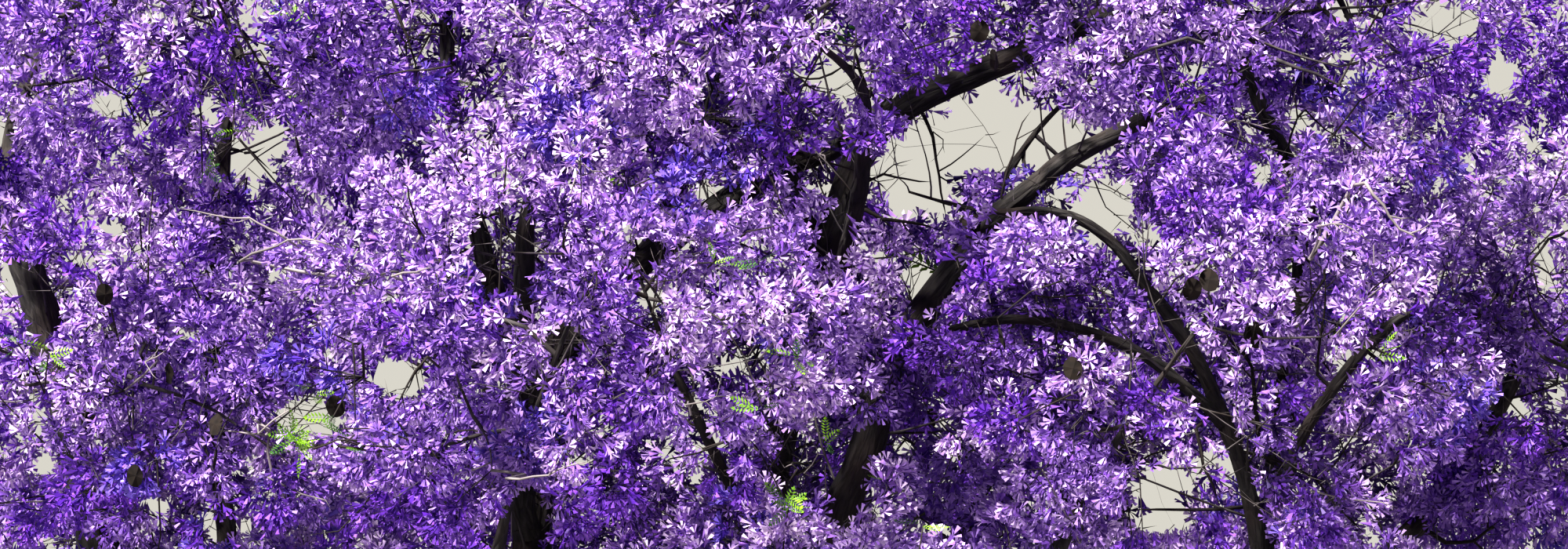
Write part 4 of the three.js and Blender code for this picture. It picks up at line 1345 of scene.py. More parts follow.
def part_mesh(name, points, faces, parts):
    """A small source mesh in metres whose faces are marked as main or part."""
    mesh = bpy.data.meshes.new(name)
    mesh.from_pydata([tuple(p) for p in points], [], faces)
    layer = mesh.attributes.new("part", "BOOLEAN", "FACE")
    layer.data.foreach_set("value", parts)
    return mesh


def flower_mesh():
    """A trumpet: a three-sided tube under five spreading lobes. It faces +Z from its stalk."""
    points = [(0, 0, 0)]
    faces, parts = [], []
    mouth = FLOWER_LENGTH * THROAT_SHARE
    for k in range(TUBE_SIDES):
        turn = FULL_TURN * k / TUBE_SIDES
        points.append((FLOWER_MOUTH * math.cos(turn), FLOWER_MOUTH * math.sin(turn), mouth))
        faces.append((0, 1 + (k + 1) % TUBE_SIDES, 1 + k))
        parts.append(True)
    throat = len(points)
    points.append((0, 0, mouth * THROAT_DEPTH))
    for k, (near, far, rise) in enumerate(LOBES):
        turn = FULL_TURN * k / len(LOBES)
        first = len(points)
        for side, reach in ((-LOBE_HALF_TURN, near), (LOBE_HALF_TURN, far)):
            x, y = math.cos(turn + side), math.sin(turn + side)
            points.append((LOBE_REACH * reach * x, LOBE_REACH * reach * y, FLOWER_LENGTH * rise))
        faces.append((throat, first, first + 1))
        parts.append(False)
    return part_mesh("flower", np.array(points) * METRE, faces, parts)


BARK_SIDES = {"bough_bark": 18, "limb_bark": 12}
# The small crook of the limbs, as a share of their radius, and how far apart in the noise the limbs stand.
CROOK_SEED = 11
CROOK_DENSITY = 0.0045
CROOK_SHARE = 0.5
CROOK_FADE = 0.7
RUN_SHIFT = 3.7
STEM_SHIFT = 1.9
STEM_SHIFT_FIRST = 50
SMOOTH_PASSES = 4
# The collar where a limb leaves its carrier, as shares of its radius, and how a mass's stem thins.
COLLAR_WIDER = 0.32
COLLAR_LENGTH = 1.6
STEM_THINNING = 1.3
STEM_END_SHARE = 0.35
LIMB_END_RISE = 0.5
# The bark's relief: lumps to a millimetre and their height, then furrows to a millimetre round the limb and
# along it, and their depth.
TRUNK_RELIEF = (0.006, 14, 0.05, 0.009, 5)
BOUGH_RELIEF = (0.012, 0.16, 0.07, 0.014, 2.2)


def limb_runs(grown):
    """Limbs joined tip to root into runs under one skin: each run's nodes, spine, radii and lengths."""
    following = {limb[0]: name for name, limb in LIMBS.items() if limb[1] == 1 and limb[0] != "trunk"}
    stems = {mass.seat[0].name: mass.stem for mass in grown.masses if mass.seat[1] == 1}
    noise.seed_set(CROOK_SEED)
    runs = []
    for name in LIMBS:
        if name in following.values():
            continue
        names, pieces, radii = [], [], []
        while name:
            limb = grown.limbs[name]
            names.append(name)
            pieces.append(limb.fine[1 if pieces else 0:])
            radii.append(limb.fine_radii()[-len(pieces[-1]):])
            name = following.get(name)
        stem = stems.get(names[-1])
        if stem:
            pieces.append(stem.fine[1:])
            radii.append(stem_radii(stem)[1:])
        runs.append((names, *limb_skin(np.vstack(pieces), np.concatenate(radii), len(runs) * RUN_SHIFT)))
    for mass in grown.masses:
        if mass.seat[1] < 1:
            shift = mass.index * STEM_SHIFT + STEM_SHIFT_FIRST
            runs.append(([], *limb_skin(mass.stem.fine, stem_radii(mass.stem), shift)))
    return runs


def stem_radii(stem):
    """The radii of a mass's stem, which thins quickly to a twig."""
    t = np.linspace(0, 1, len(stem.fine))
    return stem.root * (1 - t) ** STEM_THINNING + STEM_END_SHARE * stem.end * t


def limb_skin(spine, radius, shift):
    """A run's spine made smooth and a little crooked, with a collar where it leaves its carrier."""
    for _ in range(SMOOTH_PASSES):
        spine[1:-1] = (spine[:-2] + 2 * spine[1:-1] + spine[2:]) / 4
        radius[1:-1] = (radius[:-2] + 2 * radius[1:-1] + radius[2:]) / 4
    run = run_along(spine)
    fade = np.sin(math.pi * run / run[-1]) ** CROOK_FADE
    apart = Vector((shift, 0, 0))
    crook = np.array([noise.noise_vector(Vector(p * CROOK_DENSITY) + apart) for p in spine])
    spine = spine + crook * (radius * CROOK_SHARE * fade)[:, None]
    radius = radius * (1 + COLLAR_WIDER * np.exp(-(run / (radius[0] * COLLAR_LENGTH)) ** 2))
    return spine, radius, run


def rough(radius, wrap, relief, share=1):
    """A radius with the lumps and furrows at a place on the bark. The share is that of the lumps' height."""
    lumps, high, furrows, along, deep = relief
    lump = noise.noise(wrap * lumps) * high * share
    furrow = noise.noise(Vector((wrap.x * furrows, wrap.y * furrows, wrap.z * along))) * deep
    return radius + lump + furrow


def tube_mesh(rows):
    """Points, faces and grain of many tubes. Each row holds stations, radii, lengths along and sides."""
    points, grain, faces = [], [], []
    for spine, radius, run, sides in rows:
        base = len(points)
        heading = unit(np.gradient(spine, axis=0))
        side = across(heading[0], 0)
        turn = np.arange(sides) * FULL_TURN / sides
        cos, sin = np.cos(turn), np.sin(turn)
        for i, centre in enumerate(spine):
            side = unit(side - heading[i] * (side @ heading[i]))
            ring = side * cos[:, None] + np.cross(heading[i], side) * sin[:, None]
            for k in range(sides):
                wrap = Vector((cos[k] * radius[i], sin[k] * radius[i], run[i]))
                points.append(centre + ring[k] * rough(radius[i], wrap, BOUGH_RELIEF, radius[i]))
                grain.append(wrap)
        points += [spine[-1] + heading[-1] * radius[-1] * LIMB_END_RISE, spine[0]]
        grain += [Vector((0, 0, run[-1])), Vector((0, 0, run[0]))]
        faces.append(base + ring_faces(len(spine), sides, True))
    return points, np.concatenate(faces), grain


def bark_mesh(name, points, faces, grain):
    """A smooth mesh from millimetres. Its grain is each point's place on the bark laid out along the limb."""
    mesh = plain_mesh(name, np.array(points) * METRE, faces)
    layer = mesh.attributes.new("grain", "FLOAT_VECTOR", "POINT")
    layer.data.foreach_set("vector", (np.array([tuple(g) for g in grain]) * METRE).astype(np.float32).ravel())
    mesh.shade_smooth()
    return mesh


GROWN = {}


def tree():
    """The tree's growth, worked out once."""
    if "tree" not in GROWN:
        grown = Tree()
        rng = np.random.default_rng(FINE_SEED)
        for name, first, last in IN_SIGHT:
            SIGHT.keep(grown.limbs[name], first, last)
        for y, radius, pixels in BARE_TWIGS:
            line = from_pixels(pixels, y)
            at = np.linspace(0, len(line) - 1, 4 * len(line))
            SIGHT.add(spots_between(line, range(len(line)), at), radius, THIN_EDGE)
        for mass in grown.masses:
            pick_sprays(mass, rng)
        grown.limb_sprays = pick_limb_sprays(grown, rng)
        grown.foliage = Foliage(grown)
        GROWN["tree"] = grown
    return GROWN["tree"]


def colour_setting(name, description, default):
    """A colour among the tree's settings."""
    return FloatVectorProperty(name=name, description=description, default=default, subtype="COLOR")


class JacarandaSettings(bpy.types.PropertyGroup):
    """Sizes and colours of the tree."""

    flower_length: FloatProperty(
        name="Flower length", description="Length of a flower, stalk end to mouth",
        default=FLOWER_LENGTH * METRE, min=0.01, unit="LENGTH",
    )
    blossom_light: colour_setting("Light blossom", "Palest tint of the flowers' lobes", (0.84, 0.66, 0.93))
    blossom_dark: colour_setting("Dark blossom", "Deepest tint of the flowers' lobes", (0.24, 0.08, 0.55))
    blossom_blue: colour_setting("Blue blossom", "Tint of the bluest flowers", (0.24, 0.15, 0.66))
    leaf_light: colour_setting("Young leaves", "Light green of the young leaves", (0.26, 0.50, 0.02))
    leaf_dark: colour_setting("Older leaves", "Dark green of the leaves", (0.035, 0.12, 0.02))
    pod_brown: colour_setting("Pods", "Colour of the old pods", (0.010, 0.006, 0.004))
    bark_dark: colour_setting("Bark furrows", "Colour down in the bark", (0.008, 0.007, 0.007))
    bark_light: colour_setting("Bark ridges", "Colour on the bark's ridges", (0.042, 0.037, 0.034))
    bark_warm: colour_setting("Bark patches", "Colour of the warmer patches", (0.046, 0.032, 0.026))
    twig_pale: colour_setting("Pale twigs", "Colour of sunlit twigs", (0.19, 0.165, 0.165))
    twig_brown: colour_setting("Brown twigs", "Colour of young twigs and stalks", (0.026, 0.018, 0.015))


# The blossom's tints as shares of the way from its light colour to its dark one. Then a painted shade tint,
# the dark one made deeper by the shade share, and last the blue.
TINT_SHARES = (0, 0.3, 0.65, 1)
TUBE_DARKER = np.array((0.52, 0.32, 0.80))
LOBE_DARKER = np.array((0.60, 0.46, 0.80))
SHADE_SHARE = 0.4
MOST_FLOWERS = 23000


class JACARANDA_OT_trunk(bpy.types.Operator):
    """Trunk with a flared foot and fissured bark"""

    bl_idname = "jacaranda.trunk"
    bl_label = "Trunk"

    def execute(self, context):
        line = tree().limbs["trunk"].fine
        foot = spot_at_height(line, 0)
        spine = np.vstack([foot, line[line[:, 2] > FOOT_GAP]])
        run = run_along(spine)
        points, grain = [], []
        heading = unit(np.gradient(spine, axis=0))
        side = across(heading[0], 0)
        for i, centre in enumerate(spine):
            side = unit(side - heading[i] * (side @ heading[i]))
            other = np.cross(side, heading[i])
            flare = FLARE_RADIUS * math.exp(-centre[2] / FLARE_HEIGHT)
            shoulder = max(0, (centre[2] - FORK[2]) / TRUNK_CROWN_HEIGHT)
            for k in range(TRUNK_SIDES):
                turn = FULL_TURN * k / TRUNK_SIDES
                radius = TRUNK_RADIUS + flare * (1 + RIDGE_DEPTH * math.cos(FLARE_RIDGES * turn))
                radius -= (TRUNK_RADIUS - TRUNK_CROWN_RADIUS) * shoulder
                wrap = Vector((math.cos(turn) * radius, math.sin(turn) * radius, run[i]))
                out = side * math.cos(turn) + other * math.sin(turn)
                point = centre + out * rough(radius, wrap, TRUNK_RELIEF)
                point[2] = 0 if i == 0 else max(point[2], LEAST_RISE * i)
                points.append(point)
                grain.append(wrap)
        points += [spine[-1] + heading[-1] * TOP_RISE, foot]
        grain += [Vector((0, 0, run[-1])), Vector((0, 0, 0))]
        faces = ring_faces(len(spine), TRUNK_SIDES, True)[:, [0, 2, 1]]
        material = bark_material("trunk_bark", context.scene.jacaranda, TRUNK_BARK_SCALE)
        place(bark_mesh("trunk_bark", points, faces, grain), "bark", ["trunk"], material)
        return {"FINISHED"}


def spot_at_height(spine, height):
    """The point where a rising spine passes a height."""
    i = int(np.argmax(spine[:, 2] >= height))
    low, high = spine[max(0, i - 1)], spine[i]
    share = (height - low[2]) / max(1e-9, high[2] - low[2])
    return low + (high - low) * share


class JACARANDA_OT_boughs(bpy.types.Operator):
    """Boughs and limbs with bark relief"""

    bl_idname = "jacaranda.boughs"
    bl_label = "Boughs"

    def execute(self, context):
        groups = {group: ([], []) for group in BARK_SIDES}
        for names, spine, radius, run in limb_runs(tree()):
            group = "bough_bark" if names and names[0].startswith("bough") else "limb_bark"
            groups[group][0].append((spine, radius, run, BARK_SIDES[group]))
            groups[group][1].extend(names)
        material = bark_material("bough_bark", context.scene.jacaranda, BOUGH_BARK_SCALE)
        for group, (rows, nodes) in groups.items():
            place(bark_mesh(group, *tube_mesh(rows)), "bark", nodes + MASS_NODES, material)
        return {"FINISHED"}


# Spots tried for a hold, what one beside the way costs, what each use costs in millimetres, and where the way
# from it is looked at for openings.
HOLD_TRIES = 10
HOLD_BEHIND = 1.75
HOLD_USE_COST = 70
WAY_SHARES = np.linspace(0.1, 0.9, 6)[:, None]


class Holds:
    """Spots that a finer twig can start from. A spot costs more the more it already carries."""

    def __init__(self, spots, radius):
        self.spots = spots
        self.uses = np.zeros(len(spots))
        self.radii = np.full(len(spots), float(radius))

    def add(self, spots, radii):
        """More spots, which carry nothing yet."""
        self.spots = np.vstack([self.spots, spots])
        self.uses = np.concatenate([self.uses, np.zeros(len(spots))])
        self.radii = np.concatenate([self.radii, radii])

    def pick(self, base, axis):
        """A spot that is near, and behind what grows from it, and its radius."""
        gaps = base - self.spots
        spans = np.linalg.norm(gaps, axis=1) + 1
        nearest = np.argsort(spans * (HOLD_BEHIND - (gaps @ axis) / spans) + HOLD_USE_COST * self.uses)
        for i in nearest[:HOLD_TRIES]:
            way = self.spots[i] + gaps[i] * WAY_SHARES
            if not in_shapes(way, OPENINGS, 1).any():
                break
        else:
            i = nearest[0]
        self.uses[i] += 1
        return self.spots[i], self.radii[i]


class Foliage:
    """Everything finer than the frame's limbs, as rows of numbers: twigs, flowers, leaves and pods."""

    def __init__(self, grown):
        self.rng = np.random.default_rng(FINE_SEED + 1)
        self.stalks, self.twigs, self.bare, self.pale = Twigs(), Twigs(), Twigs(), Twigs()
        self.flowers = [[] for _ in range(len(TINT_SHARES) + 2)]
        self.limbs = [limb for name, limb in grown.limbs.items() if name != "trunk"]
        spots = np.concatenate([limb.fine[BARE_STATIONS:] for limb in self.limbs])
        carried = [spots[spots[:, 2] > CROWN_FOOT]]
        self.bases = []
        for mass in grown.masses:
            carried.append(self.grow_mass(mass))
        for end, axis, hold in grown.limb_sprays:
            self.grow_spray(Holds(hold[None], LIMB_HOLD_RADIUS), end, axis, self.tone(end, 0, LIMB_SHADE_TONE))
        self.close_gaps(np.concatenate(carried))
        self.cover_limbs(grown)
        self.flowers = [np.concatenate(rows) for rows in self.flowers]
        self.heads = np.concatenate(self.flowers)[:, :3]
        self.seen = on_plane(self.heads)
        self.holds = np.concatenate(carried)
        self.grow_bare_twigs()
        self.place_pods(grown)
        self.place_leaves()

    def tone(self, end, level, inner):
        """The tint that a spray is dealt: by patches of the crown, paler high on its mass as painted
        sunlight, darkest inside as painted shade.
        """
        if self.rng.random() < BLUE_SHARE:
            return len(TINT_SHARES) + 1
        # Sprays seen behind a hollow get the painted shade tint.
        if end[1] >= HOLLOW_DEPTH and in_shapes(end[None], HOLLOWS, HOLLOW_SHADE_EDGE)[0]:
            return len(TINT_SHARES)
        patch = TONE_PATCH_STRENGTH * noise.noise(Vector(end / TONE_PATCH))
        # Painted light and shade: sprays in front are made paler in sunlit patches and deeper in shaded ones.
        for spot in LIT_AND_SHADED_PLACES:
            if end[1] < HOLLOW_DEPTH and in_shapes(end[None], spot[None, :4], 1)[0]:
                patch = TONE_PLACE_KEEP * patch + TONE_PLACE_STRENGTH * spot[4]
        # Paler high on a mass as painted sunlight on its top, and deeper inside as painted shade.
        share = TONE_MIDDLE - SUNLIT_TOP_RISE * level + patch + inner + self.rng.normal(0, TONE_VARY)
        return int(np.clip(round(share), 0, len(TINT_SHARES)))

    def grow_mass(self, mass):
        """The twigs and sprays of one mass, nearest first, so that finer twigs branch from earlier ones."""
        rng = self.rng
        holds = Holds(mass.stem.fine[BARE_STATIONS:], STEM_HOLD_RADIUS)
        for start, end, main in mass.twigs:
            wide = MAIN_TWIG_RADIUS if main else OTHER_TWIG_RADIUS
            span = math.dist(start, end)
            stations = start + (end - start) * TWIG_MARKS[:, None]
            bow = across(unit(end - start), rng.uniform(0, FULL_TURN)) * TWIG_BOW * span
            stations[1:4] += rng.normal(0, TWIG_CROOK * span, (3, 3)) + bow * TWIG_BOW_SHARES
            line = spots_between(stations, TWIG_MARKS, TWIG_LOOKS)
            if blocked(line[TWIG_LOOKS_INSIDE:], rng, 0).any() or SIGHT.hides(line, TWIG_SIGHT).any():
                continue
            tip = end + unit(end - start) * TWIG_TIP_RUN
            self.twigs.add(np.vstack([stations, tip]), TWIG_TAPER * wide)
            share = np.linspace(TWIG_HOLD_FIRST, 1, max(3, int(span / TWIG_HOLD_STEP)))
            spots = spots_between(stations, TWIG_MARKS, share)
            holds.add(spots, np.full(len(spots), wide * TWIG_HOLD_SHARE))
        middle = mass.stem.fine[-1]
        for end, axis in sorted(mass.sprays, key=lambda spray: math.dist(spray[0], middle)):
            share = (end - mass.middle) / mass.size
            inner = INNER_SHADE_TONE if np.linalg.norm(share) < INNER_REACH else 0
            self.grow_spray(holds, end, axis, self.tone(end, share[2], inner))
        return holds.spots

    def grow_spray(self, holds, end, axis, tone):
        """A fine twig from its hold to a spray, the spray's stalk, and its flowers."""
        rng = self.rng
        scale = 1 + rng.uniform(-SPRAY_VARY, SPRAY_VARY)
        length = SPRAY_LENGTH * scale
        base = end - axis * length * SPRAY_FOOT
        count, size = FRONT_FLOWERS if at_front(end) else OTHER_FLOWERS
        stalks, rows = grow_flowers(base, axis, length, SPRAY_RADIUS * scale, count, size, rng)
        heads = rows[:, :3] + rows[:, 3:6] * FLOWER_LENGTH * HEAD_SHARE
        barred = blocked(heads, rng, FLOWER_EDGE)
        keep = ~(barred | SIGHT.hides(heads, FLOWER_MARGIN, rng.uniform(*FLOWER_SIGHT, len(heads))))
        if keep.mean() < SPRAY_LEAST_SHARE:
            return
        hold, thick = holds.pick(base, axis)
        reach = math.dist(hold, base)
        control = (hold + base) / 2 - axis * reach * FINE_BOW + rng.normal(0, 0.05 * reach + 3, 3)
        stations = curve(hold, control, base, 3)
        wide = min(FINE_RADIUS * min(FINE_MOST, FINE_LEAST + reach / FINE_REACH), thick * FINE_OF_HOLD)
        holds.add(stations[1:], FINE_TAPER * wide)
        self.flowers[tone].append(rows[keep])
        self.bases.append((base, axis))
        rachis = base + (end - base) * RACHIS_BEND + rng.normal(0, RACHIS_CROOK, 3)
        stations = np.vstack([stations, rachis, end - axis * RACHIS_SHORT])
        self.stalks.add(stations, [wide, *(wide * FINE_TAPER), wide * RACHIS_SHARE, RACHIS_END])
        for j, (root, tip) in enumerate(stalks):
            if keep[j * count:(j + 1) * count].any():
                self.stalks.add(np.array([root, tip]), [BRANCHLET_RADIUS, BRANCHLET_END])

    def flowers_so_far(self):
        """Where every flower stands so far."""
        return np.concatenate([rows for tint in self.flowers for rows in tint])[:, :3]

    def close_gaps(self, holds):
        """Sprays from the nearest twig wherever the photograph shows blossom and nothing has grown yet."""
        seen = on_plane(self.flowers_so_far())
        flat = on_plane(holds)
        for spot in CLOSE_GRID:
            level = from_pixels((spot,), 0)
            here = on_plane(level)
            if in_shapes(level, OPENINGS, CLOSE_EDGE)[0]:
                continue
            if (np.abs(seen - here) < CLOSE_REACH).all(axis=1).sum() >= CLOSE_LEAST:
                continue
            i = int(np.argmin(np.linalg.norm(flat - here, axis=1)))
            end = from_pixels((spot,), holds[i][1] + self.rng.normal(0, CLOSE_SCATTER))[0]
            axis = unit(unit(end - holds[i]) + CLOSE_LIFT)
            hold = Holds(holds[i][None], LIMB_HOLD_RADIUS)
            self.grow_spray(hold, end + axis * SPRAY_LENGTH * CLOSE_PAST, axis, self.tone(end, 0, GAP_TONE))

    def cover_limbs(self, grown):
        """Sprays from a limb itself wherever it shows and the photograph has blossom over it."""
        limbs = self.limbs + [mass.stem for mass in grown.masses]
        points = np.concatenate([limb.fine for limb in limbs])
        radii = np.concatenate([limb.fine_radii() for limb in limbs])
        flat = on_plane(points)
        heads = self.flowers_so_far()
        seen = on_plane(heads)
        shapes = np.vstack([OPENINGS, HOLLOWS])
        for spot in COVER_GRID:
            level = from_pixels((spot,), 0)
            here = on_plane(level)
            on = np.linalg.norm(flat - here, axis=1) < radii + COVER_MARGIN
            if not on.any() or in_shapes(level, shapes, COVER_EDGE)[0]:
                continue
            i = int(np.argmin(np.where(on, points[:, 1] - radii, np.inf)))
            front = points[i, 1] - radii[i]
            near = (np.abs(seen - here) < COVER_REACH).all(axis=1) & (heads[:, 1] < front)
            end = from_pixels((spot,), front - COVER_STAND * SPRAY_LENGTH)[0]
            if near.sum() >= COVER_LEAST or front > COVER_DEPTH or SIGHT.hides(end[None], COVER_SIGHT)[0]:
                continue
            axis = unit(COVER_WAY + self.rng.normal(0, COVER_VARY, 3))
            hold = Holds(points[i][None], LIMB_HOLD_RADIUS)
            self.grow_spray(hold, end, axis, self.tone(end, 0, COVER_TONE))

    def front_of(self, pixels):
        """How far back the nearest blossom stands round some pixels of the photograph."""
        flat = on_plane(from_pixels(pixels, FRONT_LOOK))
        near = (np.linalg.norm(self.seen[:, None] - flat[None], axis=2) < FRONT_REACH).any(axis=1)
        return self.heads[near, 1].min() if near.any() else 0.0

    def nearest_hold(self, spot):
        """The nearest spot that can carry a twig."""
        return self.holds[int(np.argmin(np.linalg.norm(self.holds - spot, axis=1)))]

    def lay_twig(self, twigs, radius, points, deep=0):
        """A bare twig through its bends, from the nearest spot that can carry it, with a few twiglets."""
        rng = self.rng
        start = points[0] + (0, deep, 0)
        way_in = [self.nearest_hold(start), start] if deep else [self.nearest_hold(start)]
        points = np.vstack(way_in + [points])
        middles = (points[1:] + points[:-1]) / 2
        steps = np.linalg.norm(points[1:] - points[:-1], axis=1, keepdims=True)
        stations = np.empty((2 * len(points) - 1, 3))
        stations[::2] = points
        stations[1::2] = middles + rng.normal(0, BARE_CROOK, middles.shape) * steps
        share = np.linspace(1, BARE_END, len(stations))
        twigs.add(stations, share * radius)
        for _ in range(int(rng.integers(*TWIGLETS))):
            i = int(rng.integers(len(stations) // 2, len(stations)))
            heading = unit(stations[i] - stations[i - 1])
            lean = unit(heading * TWIGLET_LEAN + across(heading, rng.uniform(0, FULL_TURN)))
            long = rng.uniform(*TWIGLET_LENGTHS)
            tip = stations[i] + lean * long + np.array((0, 0, TWIGLET_LIFT * long))
            middle = stations[i] + lean * long * 0.5
            twigs.add(np.array([stations[i], middle, tip]), [0.4 * radius, 0.3 * radius, TWIGLET_END])
        if not deep:
            self.holds = np.vstack([self.holds, stations[1:]])

    def grow_bare_twigs(self):
        """Bare twigs: those in plain sight, those in hollows, and one past every few sprays all round."""
        rng = self.rng
        for back, radius, pixels in BARE_TWIGS:
            self.lay_twig(self.bare, radius, from_pixels(pixels, back))
        for twigs, rows in ((self.bare, FRONT_TWIGS), (self.pale, SUNLIT_TWIGS)):
            for radius, pixels in rows:
                line = from_pixels(pixels, self.front_of(pixels) - FRONT_TWIG_OFF)
                self.lay_twig(twigs, radius, line, FRONT_TWIG_DEEP)
        for x, y, wide, tall in HOLLOWS:
            for _ in range(HOLLOW_TWIGS):
                here = (x + rng.uniform(*HOLLOW_PART) * wide, y + rng.uniform(*HOLLOW_PART) * tall)
                there = (here[0] + rng.uniform(*HOLLOW_ACROSS), here[1] + rng.uniform(*HOLLOW_DOWN))
                spots = from_pixels((here, there), rng.uniform(*HOLLOW_BACK))
                twigs = self.pale if rng.random() < HOLLOW_PALE else self.bare
                self.lay_twig(twigs, rng.uniform(*HOLLOW_RADII), spots)
        for i, (base, axis) in enumerate(self.bases[::PAST_EVERY]):
            lean = unit(axis + rng.normal(0, PAST_LEAN, 3))
            reach = rng.uniform(*PAST_LENGTHS)
            middle = base + lean * reach * 0.5 + rng.normal(0, 0.08 * reach, 3)
            later = middle + lean * reach * 0.3 + rng.normal(0, 14, 3)
            stations = np.array([base, middle, later, base + lean * reach])
            if not blocked(stations[1:], rng, 0).any() and not SIGHT.hides(stations[1:], PAST_SIGHT).any():
                (self.pale if i % PAST_PALE_EVERY == 0 else self.bare).add(stations, PAST_RADII)

    def place_pods(self, grown):
        """Pods: the frame's own, those in the photograph, and some under sprays elsewhere."""
        rng = self.rng
        self.pods = []
        for mass in grown.masses:
            for hold in mass.pods:
                if blocked(hold[None], rng, 0)[0]:
                    continue
                for _ in range(PODS_HERE):
                    self.hang(hold + rng.normal(0, POD_SCATTER, 3), 1.0)
        for x, y in ROUND_PODS + POD_SPOTS:
            depth = self.front_of(((x, y),)) - POD_OFF
            spot = from_pixels(((x, y - POD_STALK),), depth)[0]
            self.reach_out(spot)
            self.hang(spot, 1.0, POD_SWING if (x, y) in ROUND_PODS else math.pi)
        for base, _ in self.other_bases(OTHER_PODS):
            self.hang(base, rng.uniform(*OTHER_POD_SIZES))

    def other_bases(self, count):
        """The feet and headings of some sprays away from the front, picked at random."""
        picks = self.rng.permutation(len(self.bases))
        return [self.bases[i] for i in picks if not at_front(self.bases[i][0])][:count]

    def hang(self, spot, size, swing=math.pi):
        """A pod below a spot. Its flat side looks to the front, give or take the swing."""
        facing = unit(np.array((0, 0, -1.0)) + self.rng.normal(0, POD_TILT, 3))
        turn = 2 * math.atan2(facing[1], facing[0]) + self.rng.uniform(-swing, swing)
        self.pods.append(np.hstack([spot, facing, turn, size]))

    def reach_out(self, spot):
        """A short twig from the nearest spot that can carry it."""
        hold = self.nearest_hold(spot)
        middle = (hold + spot) / 2 + np.array((0, 0, 0.1 * math.dist(hold, spot)))
        self.bare.add(np.array([hold, middle, spot + (0, 0, 2), spot]), REACH_RADII)

    def place_leaves(self):
        """Young leaves: those in the photograph, and a few from sprays elsewhere."""
        rng = self.rng
        self.leaves = []
        for x, y, count in LEAF_SPOTS:
            depth = self.front_of(((x, y),)) - LEAF_OFF
            spot = from_pixels(((x, y),), depth)[0]
            self.reach_out(spot)
            for _ in range(count):
                facing = unit(np.array((rng.normal(0, 1), rng.normal(-0.4, 0.3), rng.normal(0.2, 0.5))))
                self.add_leaf(spot + rng.normal(0, LEAF_SCATTER, 3), facing, FRONT_LEAF_SIZES)
        for base, axis in self.other_bases(OTHER_LEAVES):
            facing = unit(axis + rng.normal(0, LEAF_TILT, 3))
            if not blocked(np.array([base, base + facing * LEAF_LENGTH]), rng, 0).any():
                self.add_leaf(base, facing, OTHER_LEAF_SIZES)

    def add_leaf(self, spot, facing, sizes):
        """A leaf from a spot, turned at random, of a size between two."""
        row = [spot, facing, self.rng.uniform(0, FULL_TURN), self.rng.uniform(*sizes)]
        self.leaves.append(np.hstack(row))


# Branchlets of a spray: where along its stalk they leave it, and how their reach varies. Then their flowers:
# how they tilt, where along a branchlet and how far off it they stand, and their sizes.
BRANCHLET_FIRST = 0.16
BRANCHLET_LAST = 0.86
BRANCHLET_VARY = (0.8, 1.1)
FLOWER_TILT = 0.15
FLOWER_ALONG = (0.6, 1.05)
FLOWER_OFF = (2, 20)
FLOWER_SIZES = (0.85, 1.15)


def grow_flowers(base, axis, length, radius, count, size, rng):
    """Branchlets round the stalk of a spray, and rows of stalk, facing, turn and size for their flowers."""
    spin = rng.uniform(0, FULL_TURN)
    stalks, rows = [], []
    for j in range(SPRAY_BRANCHLETS):
        t = BRANCHLET_FIRST + (1 - BRANCHLET_FIRST) * j / (SPRAY_BRANCHLETS - 1)
        root = base + axis * length * t * BRANCHLET_LAST
        out = across(axis, spin + j * GOLDEN_TURN)
        reach = radius * (0.95 * (1 - t) ** 0.55 + 0.06) * rng.uniform(*BRANCHLET_VARY)
        tip = root + out * reach * 0.72 + axis * length * 0.07 + np.array((0, 0, 6))
        stalks.append((root, tip))
        lead = unit(out * (1.1 - t) + axis * (0.25 + 0.75 * t))
        side = across(lead, rng.uniform(0, FULL_TURN))
        turns = np.arange(count) * GOLDEN_TURN
        swing = side * np.cos(turns)[:, None] + np.cross(lead, side) * np.sin(turns)[:, None]
        spread = 0.25 + 0.95 * (np.arange(count) + 0.5)[:, None] / count
        facing = unit(lead + swing * spread + DROOP + rng.normal(0, FLOWER_TILT, (count, 3)))
        stalk = root + (tip - root) * rng.uniform(*FLOWER_ALONG, (count, 1))
        stalk = stalk + swing * rng.uniform(*FLOWER_OFF, (count, 1))
        turned = rng.uniform(0, FULL_TURN, (count, 1))
        sizes = rng.uniform(*FLOWER_SIZES, (count, 1)) * size
        rows.append(np.hstack([stalk, facing, turned, sizes]))
    return stalks, np.vstack(rows)


class JACARANDA_OT_blossom(bpy.types.Operator):
    """Sprays of trumpet flowers in six tints"""

    bl_idname = "jacaranda.blossom"
    bl_label = "Blossom"

    def execute(self, context):
        settings = context.scene.jacaranda
        source = flower_mesh()
        light, dark = np.array(settings.blossom_light), np.array(settings.blossom_dark)
        tints = [light + (dark - light) * share for share in TINT_SHARES]
        tints += [dark * SHADE_SHARE, np.array(settings.blossom_blue)]
        size = settings.flower_length / (FLOWER_LENGTH * METRE)
        for i, (lobe, rows) in enumerate(zip(tints, tree().foliage.flowers), 1):
            tube = lobe * TUBE_DARKER
            main = mottled_material(f"lobes_{i}", lobe, lobe * LOBE_DARKER, scale=26.0, roughness=0.5)
            part = mottled_material(f"tubes_{i}", tube, tube * 0.5, scale=26.0, roughness=0.5)
            sized = np.hstack([rows[:, :7], rows[:, 7:] * size])
            pieces = math.ceil(len(rows) / MOST_FLOWERS)
            for j, some in enumerate(np.array_split(sized, pieces), 1):
                name = f"blossom_{i}_{j}" if pieces > 1 else f"blossom_{i}"
                place(scatter(name, source, some, main, part), "foliage", MASS_NODES)
        return {"FINISHED"}


